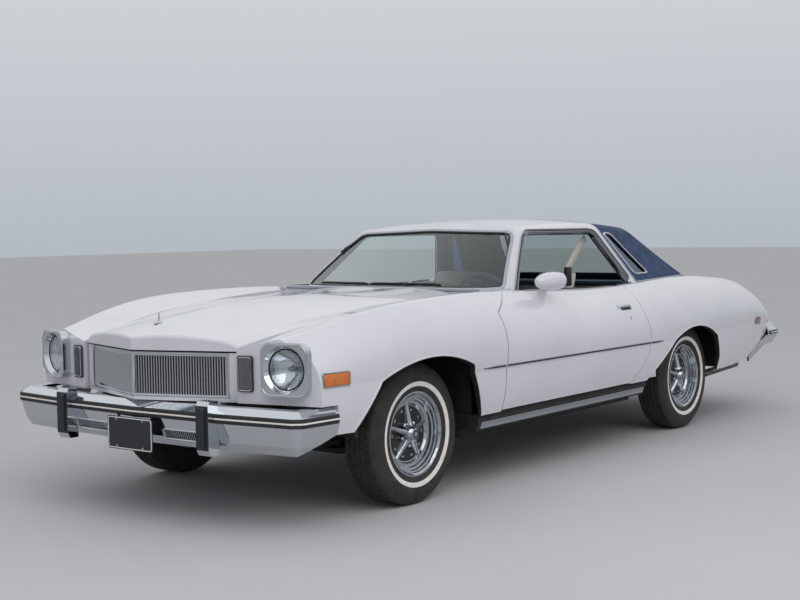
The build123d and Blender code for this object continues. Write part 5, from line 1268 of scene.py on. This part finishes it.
def front_seats():
    """Two bucket seats: base, channelled cushion, raked back with a bolster, and head rest on posts."""
    first = None
    y = 0.392
    channels = [-0.165, -0.110, -0.055, 0.0, 0.055, 0.110, 0.165]
    lean = np.array((-0.371, 0.0, 0.929))
    ahead = np.array((0.929, 0.0, 0.371))
    middle = np.array((-0.298, y, 0.712)) - ahead * 0.004
    for side in ("left", "right"):
        made = pad(f"front_cushion_{side}", 0.275, 0.240, 0.064, 0.060, (0.022, y, 0.505), (1, 0, 0.07),
                   (0, 0, 1), channels, 0.014, side=side)
        first = first or made
        pad(f"front_back_{side}", 0.232, 0.238, 0.058, 0.052, middle, lean, ahead, channels, 0.020, side=side)
        pad(f"front_rest_{side}", 0.056, 0.128, 0.042, 0.038, (-0.413, y, 0.972), lean, ahead, (), 0.0,
            side=side)
        rise = ((-0.375, 0.870), (-0.389, 0.906), (-0.402, 0.944))
        posts = [carry(circle(0.006, 10), [(x, y + out, z) for x, z in rise]) for out in (-0.045, 0.045)]
        piece(f"front_rest_posts_{side}", to_side(side, together(*posts)), chrome, slot="white_vinyl")
        section = even([(0.205, -0.060), (0.222, -0.020), (0.228, 0.050)])
        path = [(x, y, 0.398) for x in (0.252, 0.248, 0.20, 0.0, -0.19, -0.208, -0.212)]
        valance = to_side(side, carry(section, path, scale=[0.90, 0.97, 1, 1, 1, 0.97, 0.90]))
        piece(f"front_seat_base_{side}", valance, slate_plastic, bevel=0.006)
    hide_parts("front_seats")


def rear_bench():
    """Rear bench: one wide channelled cushion and a back of the same."""
    channels = np.linspace(-0.500, 0.500, 13).tolist()
    made = pad("rear_cushion", 0.243, 0.586, 0.058, 0.056, (-1.075, 0.0, 0.612), (1, 0, 0.10), (0, 0, 1),
               channels, 0.014)
    lean = np.array((-0.23, 0.0, 0.973))
    ahead = np.array((0.973, 0.0, 0.23))
    pad("rear_back", 0.136, 0.586, 0.052, 0.030, (-1.268, 0.0, 0.782), lean, ahead, channels, 0.012)
    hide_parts("rear_seat")


front_seats()
rear_bench()


def belt_strap():
    """Pale shoulder belt from the roof rail to a dark buckle beside the driver's seat, with its stalk."""
    strap = curve_through([(-0.515, 0.543, 1.236), (-0.430, 0.552, 1.190), (-0.330, 0.566, 1.120),
                           (-0.225, 0.584, 1.048)], 24)
    section = even([(0.0230, -0.0008), (0.0235, 0.0), (0.0230, 0.0008)])
    piece("shoulder_belt", carry(section, strap, up=(0.1, 1.0, 0.1)), belt_webbing, crease=60)
    lower = curve_through([(-0.235, 0.590, 0.985), (-0.245, 0.600, 0.90), (-0.262, 0.606, 0.78),
                           (-0.285, 0.606, 0.60), (-0.290, 0.590, 0.45)], 24)
    piece("lap_belt", carry(section, lower, up=(0.1, 1.0, 0.0)), belt_webbing, crease=60)
    outline = rounded_rectangle(0.052, 0.112, 0.012)
    path = [(-0.0105, 0.92), (-0.0085, 1.0), (0.0085, 1.0), (0.0105, 0.92)]
    rings = np.array([[(depth, y * size, z * size) for y, z in outline] for depth, size in path])
    shell = grid(rings, wrap_columns=True)
    count = len(outline)
    faces = shell[1] + [list(range(count))[::-1], list(range(3 * count, 4 * count))]
    buckle = placed((shell[0], faces), (-0.228, 0.588, 1.012), (0.1, 1.0, 0.0))
    piece("belt_buckle", buckle, black_rubber, slot="grey_plastic", bevel=0.002)


belt_strap()


STEER_AT = np.array((0.330, 0.400, 0.880))
STEER_TURN = math.radians(62.0)
STEER_AXIS = np.array((-math.sin(STEER_TURN), 0.0, math.cos(STEER_TURN)))
STEER_UP = np.array((math.cos(STEER_TURN), 0.0, math.sin(STEER_TURN)))


def steering():
    """Notched rim, three brushed spokes with a padded hub, and the column with its shroud. The rim's own
    radius is 12.2 mm, less up to 2.2 mm on its inner side in 60 notches for the fingers."""
    turn, round_rim = np.meshgrid(np.linspace(0, 2 * math.pi, 480, endpoint=False),
                                  np.linspace(0, 2 * math.pi, 14, endpoint=False), indexing="ij")
    inner = np.clip(-np.cos(round_rim), 0, 1)
    thick = 0.0122 - 0.0022 * inner * (np.cos(60 * turn) > 0.2)
    radius = 0.190 + thick * np.cos(round_rim)
    rim = grid(np.stack([thick * np.sin(round_rim), radius * np.sin(turn), radius * np.cos(turn)], axis=-1),
               True, True)
    made = piece("steering_rim", placed(rim, STEER_AT, STEER_AXIS, STEER_UP), slate_plastic, crease=40)
    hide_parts("steering_wheel")
    arm = even([(0.017, -0.002), (0.015, 0.003)])
    arms = []
    for angle in (0.0, 120.0, 240.0):
        a = math.radians(angle + 180)
        out = np.array((0.0, math.sin(a), math.cos(a)))
        path = [out * r + (-0.010 + 0.010 * (r / 0.19) ** 2, 0, 0) for r in (0.040, 0.085, 0.130, 0.184)]
        arms.append(carry(arm, path, up=(1, 0, 0), scale=[1.2, 0.95, 0.8, 0.75]))
    spokes = placed(together(*arms), STEER_AT, STEER_AXIS, STEER_UP)
    piece("steering_spokes", spokes, stainless, slot="grey_plastic", bevel=0.001)
    hub = [(-0.020, 0.044), (-0.004, 0.050), (0.010, 0.048), (0.018, 0.038), (0.021, 0.022), (0.0215, 0.0)]
    piece("steering_hub", lathe(hub, STEER_AT, STEER_AXIS, 48), slate_plastic)
    column = [(-0.205, 0.028), (-0.150, 0.034), (-0.060, 0.036), (-0.032, 0.033), (-0.020, 0.024)]
    piece("steering_column_shroud", lathe(column, STEER_AT, STEER_AXIS, 40), slate_plastic)
    stalk = curve_through([STEER_AT - STEER_AXIS * 0.045 + (0, 0.03, 0),
                           STEER_AT - STEER_AXIS * 0.040 + (0, 0.09, 0.01),
                           STEER_AT - STEER_AXIS * 0.030 + (0, 0.145, 0.018)], 14)
    stalk_shell = carry(circle(0.0045, 8), stalk, scale=np.linspace(0.8, 1.3, 14))
    piece("turn_stalk", stalk_shell, chrome, slot="grey_plastic")


def dashboard_details():
    """Padded brow on the dashboard's rear edge, five dials, knobs and the glove box's line."""
    brow = [(0.462, y, 0.905) for y in np.linspace(-0.730, 0.730, 60)]
    rounded = [(-0.030, -0.016), (0.016, -0.016), (0.020, 0.0), (0.012, 0.010), (-0.010, 0.012),
               (-0.030, 0.008)]
    piece("dashboard_brow", carry(rounded, brow, up=(0, 0, 1)), slate_plastic, crease=50)
    face_normal = np.array((-0.957, 0.0, -0.291))
    rings = []
    faces = []
    needles = []
    for y, size in ((0.510, 0.052), (0.400, 0.052), (0.290, 0.052), (0.215, 0.024), (0.585, 0.024)):
        centre = np.array((0.4495, y, 0.806))
        rings.append(lathe([(-0.002, size + 0.006), (0.006, size + 0.005), (0.008, size + 0.001),
                            (0.004, size - 0.003), (-0.002, size - 0.003)], centre, face_normal, 48,
                           closed=True))
        faces.append(lathe([(0.0005, size), (0.0010, size * 0.6), (0.0012, 0.0)], centre, face_normal, 40))
        needle = carry([(-0.0012, 0.0), (0.0012, 0.0), (0.0, 0.0012)],
                       [(0.002, 0.0, 0.0), (0.002, 0.0, size * 0.7)], up=(1, 0, 0), scale=[1.4, 0.4])
        needles.append(placed(needle, centre, face_normal, (0, 0.5, 0.8)))
    piece("dial_rings", together(*rings), chrome, slot="grey_plastic")
    piece("dial_faces", together(*faces), plate_paint, slot="grey_plastic")
    piece("dial_needles", together(*needles), amber_lens, slot="grey_plastic")
    knob = [(0.0, 0.009), (0.014, 0.008), (0.018, 0.0065), (0.0185, 0.0)]
    knob_places = ((0.10, 0.80), (0.06, 0.80), (0.02, 0.80), (0.10, 0.745), (-0.02, 0.745), (0.66, 0.79))
    knobs = [lathe(knob, (0.4555, y, z), face_normal, 20) for y, z in knob_places]
    piece("dashboard_knobs", together(*knobs), chrome, slot="grey_plastic")
    glove = round_corners([(-0.62, 0.70), (-0.20, 0.70), (-0.20, 0.83), (-0.62, 0.83)], 0.015)
    path = [(0.4300 + (0.870 - z) * 0.3043 - 0.0005, y, z) for y, z in glove]
    line = carry(half_round(0.004, 0.0014), path, up=face_normal, closed=True)
    piece("glove_box_line", line, chrome, slot="grey_plastic")


steering()
dashboard_details()


def door_cards():
    """Inner trims of the doors and quarters: a padded panel with upright flutes of 2.2 mm every 40 mm, as the
    size of a sine, an arm rest, a bright strip and the window winder."""
    inside = cast(tree_of("door_left"), [(0.2, 0.30, 0.70)], (0, 1, 0))[0][0][1]
    quarter_tree = tree_of("quarter_panels")
    axis = np.array((0.0, -1.0, 0.0))

    def on_card(places):
        places = np.asarray(places, float)
        points = np.stack([places[:, 0], np.full(len(places), inside), places[:, 1]], axis=1)
        return points, np.broadcast_to(axis, points.shape)

    def on_quarter(places):
        return cast(quarter_tree, [(x, 0.45, z) for x, z in places], (0, 1, 0))

    card, card_faces = skin_plate(on_card, -0.430, 0.985, 0.420, 0.905, 0.009, 0.004, (60, 24))
    fluted = (card[:, 1] < inside - 0.004) & (card[:, 2] > 0.60) & (card[:, 2] < 0.84)
    card[:, 1] += 0.0022 * np.abs(np.sin(math.pi * card[:, 0] / 0.040)) * fluted
    section = [(-0.012, -0.030), (0.010, -0.034), (0.042, -0.022), (0.050, 0.0), (0.042, 0.020),
               (0.010, 0.026), (-0.012, 0.024)]
    size = np.concatenate([np.linspace(0.6, 1, 5), np.ones(14), np.linspace(1, 0.5, 5)])
    arm = carry(section, [(x, inside - 0.010, 0.640) for x in np.linspace(-0.26, 0.42, 24)], scale=size)
    strip_path = [(x, inside - 0.0125, 0.852) for x in np.linspace(0.96, -0.41, 40)]
    strip = carry(half_round(0.012, 0.004), strip_path, up=axis)
    hub_section = [(0.0, 0.016), (0.012, 0.015), (0.018, 0.011), (0.0185, 0.0)]
    hub = lathe(hub_section, (0.52, inside - 0.010, 0.66), axis, 24)
    crank_path = [(0.52, inside - 0.026, 0.66), (0.47, inside - 0.032, 0.645), (0.415, inside - 0.034, 0.630)]
    crank = carry(even([(0.008, -0.003), (0.006, 0.004)]), crank_path, up=axis)
    knob_section = [(0.0, 0.010), (0.020, 0.012), (0.026, 0.008), (0.027, 0.0)]
    knob = lathe(knob_section, (0.415, inside - 0.036, 0.630), axis, 20)
    on_each_side([("door_card", (card, card_faces), card_vinyl, None, 60),
                  ("arm_rest", arm, slate_plastic, None, 50),
                  ("door_card_strip", strip, stainless, "grey_plastic"),
                  ("window_winder", together(hub, crank, knob), chrome, "grey_plastic")])
    panel = skin_plate(on_quarter, -1.28, -0.56, 0.600, 0.925, 0.010, 0.004, (40, 16))
    piece("quarter_inner_trims", both_sides(panel), card_vinyl, crease=60)


door_cards()


# Small outer pieces

def hood_ornament():
    """Plain upright spear on a slim foot, near the hood's front."""
    foot = cast(tree_of("hood"), [(2.455, 0.0, 1.3)], (0, 0, -1))[0][0]
    base = lathe([(-0.003, 0.016), (0.002, 0.0155), (0.005, 0.012), (0.008, 0.006), (0.010, 0.004)], foot,
                 (0, 0, 1), 32)
    base = (base[0] + (base[0] - foot) * (0.9, 0, 0), base[1])
    section = [(-0.0075, 0.0), (-0.002, 0.0020), (0.0055, 0.0010), (0.0075, 0.0), (0.0055, -0.0010),
               (-0.002, -0.0020)]
    path = [foot + (0, 0, rise) for rise in (0.004, 0.020, 0.034, 0.044, 0.050)]
    blade = carry(section, path, up=(0, 1, 0), scale=[1.1, 0.85, 0.75, 0.5, 0.08])
    piece("hood_ornament", together(base, blade), chrome, "hood")


def wipers():
    """Two wipers parked low along the windscreen's foot: each an arm, its pivot and a blade."""
    for index, (y0, y1) in enumerate(((0.360, -0.120), (-0.130, -0.560))):
        y = np.linspace(y0, y1, 26)
        blade_at, blade_normal = cast(tree_of("windscreen", "cowl_panel"),
                                      [(1.3, value, 0.9990 - 0.004 * abs(value)) for value in y], (-1, 0, 0))
        blade_at = smooth_line(blade_at, 6)
        blade = carry(even([(0.0035, 0.0005), (0.0020, 0.0075), (0.0045, 0.0090), (0.0045, 0.0125)]),
                      blade_at, up=blade_normal, scale=taper(26, 0.6, 0.6, 3))
        piece(f"wiper_blade_{index}", blade, black_rubber)
        root, _ = cast(tree_of("cowl_panel", "hood", "roof_front"), [(0.845, y0 + 0.02, 1.3)], (0, 0, -1))
        middle = blade_at[13] + blade_normal[13] * 0.014
        start = root[0] + (0, 0, 0.010)
        bend = (start + middle) / 2 + np.array((0.006, 0, 0.004))
        section = even([(0.0045, -0.0015), (0.0035, 0.0020)])
        arm = carry(section, curve_through([start, bend, middle], 16), up=(0.6, 0, 0.8),
                    scale=np.linspace(1.5, 0.8, 16))
        piece(f"wiper_arm_{index}", arm, chassis_black)
        pivot = lathe([(-0.012, 0.010), (0.006, 0.010), (0.011, 0.008), (0.013, 0.004), (0.0135, 0.0)], start,
                      (0.3, 0, 0.95), 24)
        piece(f"wiper_pivot_{index}", pivot, chassis_black)


def mirror():
    """Door mirror: an oval shell whose section is a circle drawn out along the car, its stalk, and the glass
    at its rear. The shell's radius is 49.5 mm times (1 - s^2.4)^0.5, with s from 0 at the widest place to 1
    at the nose. Towards the open rear it falls by a tenth."""
    t = np.linspace(0.0, 1.0, 26)
    along_x = 0.4085 + 0.2305 * t
    widest = 0.36
    s = np.clip((t - widest) / (1 - widest), 0, 1)
    radius = 0.0495 * np.where(t < widest, 1 - 0.10 * ((widest - t) / widest) ** 2, (1 - s**2.4) ** 0.5)
    radius[-1] = 0.0
    centre = np.array((0.0, 0.918, 1.018))
    profile = np.stack([along_x, radius], axis=1)
    bowl = [(0.4125, 0.0), (0.4125, radius[0] - 0.004), (0.4085, radius[0] - 0.003)]
    shell = lathe(np.vstack([bowl, profile]), centre, (1, 0, 0), 56)
    made = piece("mirror_shell", shell, white_enamel, "door_left", crease=50)
    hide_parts("door_mirror")
    pane = lathe([(0.4108, 0.0), (0.4112, 0.030), (0.4120, radius[0] - 0.0045)], centre, (1, 0, 0), 48)
    piece("mirror_glass", pane, mirror_silver, "door_left", "lamp_glass")
    stalk = curve_through([(0.548, 0.872, 0.915), (0.538, 0.880, 0.945), (0.528, 0.898, 0.978),
                           (0.524, 0.912, 1.000)], 16)
    section = [(0.030 * across * (1.0 if across < 0 else 0.9), 0.0125 * rise)
               for across, rise in circle(1.0, 20)]
    foot = carry(section, stalk, up=(0, 1, 0.4), scale=np.linspace(1.15, 0.85, 16))
    piece("mirror_stalk", foot, white_enamel, "door_left", crease=50)


def engine_dress():
    """On the engine: a round air cleaner with its snorkel, two ribbed rocker covers, and the radiator ahead
    of it. The radiator's core stands 3 mm proud in upright folds of 8 mm."""
    centre = (1.640, 0.0, 0.7985)
    drum = [(0.0, 0.060), (0.0, 0.148), (0.004, 0.154), (0.044, 0.155), (0.048, 0.160), (0.053, 0.160),
            (0.056, 0.154), (0.060, 0.120), (0.062, 0.030), (0.060, 0.012), (0.060, 0.0)]
    snorkel = curve_through([(1.720, -0.060, 0.826), (1.860, -0.110, 0.826), (1.960, -0.190, 0.820),
                             (2.020, -0.270, 0.810)], 20)
    tube = carry(rounded_rectangle(0.062, 0.034, 0.012), snorkel, up=(0, 0, 1),
                 scale=np.linspace(1.0, 1.25, 20))
    foot = lathe([(-0.012, 0.060), (0.004, 0.060)], centre, (0, 0, 1), 40)
    piece("air_cleaner", together(lathe(drum, centre, (0, 0, 1), 72), foot, tube), wheel_black)
    nut = lathe([(0.058, 0.014), (0.066, 0.014), (0.070, 0.008), (0.084, 0.006), (0.086, 0.0)], centre,
                (0, 0, 1), 6)
    piece("air_cleaner_nut", nut, chrome, crease=20)
    x = np.linspace(1.300, 1.920, 80)
    ribs = 1 + 0.035 * (np.abs(((x * 40) % 2) - 1) < 0.25)
    ribs[:3] *= (0.80, 0.93, 0.99)
    ribs[-3:] *= (0.99, 0.93, 0.80)
    arch = even([(0.060, -0.002), (0.060, 0.010), (0.050, 0.030), (0.034, 0.040)])
    cover = carry(arch, [(value, 0.214, 0.790) for value in x], scale=ribs)
    piece("rocker_covers", both_sides(cover), cast_iron)
    y, z = np.meshgrid(np.linspace(-0.36, 0.36, 361), np.linspace(0.40, 0.76, 3), indexing="ij")
    folds = 0.003 * np.abs(((y / 0.004) % 2) - 1)
    front = grid(np.stack([2.1120 + folds, y, z], axis=-1))
    back = grid(np.stack([2.0780 - folds, y, z], axis=-1))
    frame_path = [(2.095, y, 0.58 + z) for y, z in rounded_rectangle(0.76, 0.40, 0.02)]
    surround = carry(even([(0.022, -0.020), (0.022, 0.020)]), frame_path, up=(1, 0, 0), closed=True)
    tank = carry(even([(0.024, -0.028), (0.026, 0.0), (0.016, 0.022)]),
                 [(2.095, y, 0.800) for y in np.linspace(-0.34, 0.34, 20)])
    piece("radiator", together(front, back, surround, tank), chassis_black)


hood_ornament()
wipers()
mirror()
engine_dress()


# Tail

TAIL_ALONG = np.array((0.5077, 0.0, 0.8615))
TAIL_OUT = np.array((-0.8615, 0.0, 0.5077))
TAIL_AT = np.array((-2.5583, 0.390, 0.6938))


def tail_trims():
    """Bright frame and four cross bars over each tail lamp, a round cover over the boot's lock, and a bright
    strip low on the tail panel."""
    outline = rounded_rectangle(0.326, 0.088, 0.010)
    origin = TAIL_AT + TAIL_OUT * 0.0035
    path = [(0.0, y, z) for y, z in outline]
    rim = carry(half_round(0.0095, 0.0055), path, up=(1, 0, 0), closed=True)
    across = np.linspace(-0.160, 0.160, 12)
    bars = [carry(half_round(0.0045, 0.0042), [(0.0, y, z) for y in across], up=(1, 0, 0))
            for z in (-0.0260, -0.0087, 0.0087, 0.0260)]
    shell = placed(together(rim, *bars), origin, TAIL_OUT, TAIL_ALONG)
    piece("tail_lamp_frames", both_sides(shell), chrome)
    panel = tree_of("tail_panel", "trunk_lid")
    lock_at, lock_normal = cast(panel, [(-3.0, 0.0, 0.700)], (1, 0, 0))
    lock = lathe([(-0.002, 0.020), (0.003, 0.0195), (0.0055, 0.016), (0.0048, 0.012), (0.0052, 0.0)],
                 lock_at[0], lock_normal[0], 36)
    piece("boot_lock_cover", lock, chrome)
    y = np.linspace(-0.545, 0.545, 60)
    edge, edge_normal = cast(panel, [(-3.0, value, 0.638) for value in y], (1, 0, 0))
    strip = carry(half_round(0.010, 0.0040), edge, up=edge_normal, scale=taper(60, 0.4, 0.4))
    piece("tail_lower_strip", strip, stainless)


def lid_gutter_ends():
    """White gutter with a rolled upper edge below each rear corner of the boot lid."""
    section = [(-2.526, 0.698), (-2.505, 0.720), (-2.482, 0.743), (-2.477, 0.748), (-2.471, 0.751),
               (-2.462, 0.751), (-2.480, 0.698)]
    y = np.linspace(0.572, 0.676, 8)
    rows = np.array([[(x, value, z) for x, z in section] for value in y])
    skin, faces = grid(rows, wrap_columns=True)
    ends = [list(range(7)), list(range(49, 56))]
    piece("lid_gutter_ends", both_sides((skin, faces + ends)), white_enamel)


def rear_plate():
    """Blank plate on the rear bumper: a sheet with rounded corners, a raised border and four screws."""
    x, z, thick = -2.6466, 0.4370, 0.0014
    outline = rounded_rectangle(0.305, 0.150, 0.012)
    rings = [(0.0, thick), (0.5, thick), (1.0, thick), (1.0, 0.0), (0.5, 0.0), (0.0, 0.0)]
    sheet = np.array([[(x - out, y * size, z + upward * size) for y, upward in outline]
                      for size, out in rings])
    piece("rear_plate", grid(sheet, wrap_columns=True), plate_paint)
    path = [(x - thick, y, z + upward) for y, upward in rounded_rectangle(0.295, 0.140, 0.010)]
    border = carry(half_round(0.004, 0.0016), path, up=(-1, 0, 0), closed=True)
    piece("rear_plate_border", border, white_rubber, slot="plate_paint")
    screw = [(0.0, 0.0062), (0.0034, 0.0058), (0.0044, 0.0040), (0.0045, 0.0)]
    screws = [lathe(screw, (x, side * 0.089, z + end * 0.061), (-1, 0, 0), 20)
              for side in (1, -1) for end in (1, -1)]
    piece("rear_plate_screws", together(*screws), stainless)


tail_trims()
lid_gutter_ends()
rear_plate()


# Studio

def studio():
    """Pale floor, a soft sky brighter overhead, one wide lamp, and the camera at the photo's angle."""
    floor_paint = simple("pale_studio_floor", (1.5, 3.0, "#C9CACC", "#C4C5C8"), Roughness=0.85)
    mesh = bpy.data.meshes.new("studio_floor")
    half = 60.0
    mesh.from_pydata([(-half, -half, 0), (half, -half, 0), (half, half, 0), (-half, half, 0)], [],
                     [(0, 1, 2, 3)])
    mesh.materials.append(floor_paint)
    floor = bpy.data.objects.new("studio_floor", mesh)
    bpy.context.scene.collection.objects.link(floor)

    world = bpy.data.worlds.new("studio_sky")
    bpy.context.scene.world = world
    world.use_nodes = True
    tree = world.node_tree
    way = add(tree, "TexCoord", output="Generated")
    rising = add(tree, "MapRange", (add(tree, "SeparateXYZ", (way,), "Z"), -0.02, 0.55, 0.0, 1.0))
    sky = add(tree, "Mix", {0: rising, 6: "#BFC5CE", 7: "#FFFFFF"}, 2, data_type="RGBA")
    light = tree.nodes["Background"]
    tree.links.new(sky, light.inputs["Color"])
    light.inputs["Strength"].default_value = 0.62
    seen = add(tree, "Mix", {0: rising, 6: "#B3B9C1", 7: "#F8FAFB"}, 2, data_type="RGBA")
    backdrop = add(tree, "Background", {"Color": seen, "Strength": 1.0})
    direct = add(tree, "LightPath", output="Is Camera Ray")
    for ray in ("Is Glossy Ray", "Is Transmission Ray"):
        direct = add(tree, "Math", (direct, add(tree, "LightPath", output=ray)), operation="MAXIMUM")
    mixed = add(tree, "MixShader", (direct, light.outputs[0], backdrop))
    tree.links.new(mixed, tree.nodes["World Output"].inputs["Surface"])

    lamp = bpy.data.lights.new("wide_lamp", "AREA")
    lamp.shape = "RECTANGLE"
    lamp.size = 9.0
    lamp.size_y = 7.0
    lamp.energy = 250.0
    lamp_object = bpy.data.objects.new("wide_lamp", lamp)
    lamp_object.location = (4.0, 5.5, 6.5)
    aim = Vector((0, 0, 0.6)) - lamp_object.location
    lamp_object.rotation_euler = aim.to_track_quat("-Z", "Y").to_euler()
    bpy.context.scene.collection.objects.link(lamp_object)

    yaw, pitch, roll = (math.radians(angle) for angle in (218.2332, -3.1026, -0.9681))
    ahead = np.array([math.cos(yaw) * math.cos(pitch), math.sin(yaw) * math.cos(pitch), math.sin(pitch)])
    right = np.cross(ahead, (0, 0, 1))
    right = right / np.linalg.norm(right)
    above = np.cross(right, ahead)
    turned_right = right * math.cos(roll) + above * math.sin(roll)
    turned_up = above * math.cos(roll) - right * math.sin(roll)
    camera = bpy.data.cameras.new("photo_view")
    camera.lens = 59.687
    camera.sensor_width = 36.0
    camera.clip_end = 200.0
    camera_object = bpy.data.objects.new("photo_view", camera)
    axes = Matrix([(*row, 0) for row in zip(turned_right, turned_up, -ahead)] + [(0, 0, 0, 1)])
    camera_object.matrix_world = Matrix.Translation((6.59093, 4.68497, 1.31567)) @ axes
    bpy.context.scene.collection.objects.link(camera_object)
    bpy.context.scene.camera = camera_object
    bpy.context.scene.view_settings.view_transform = "Standard"


studio()
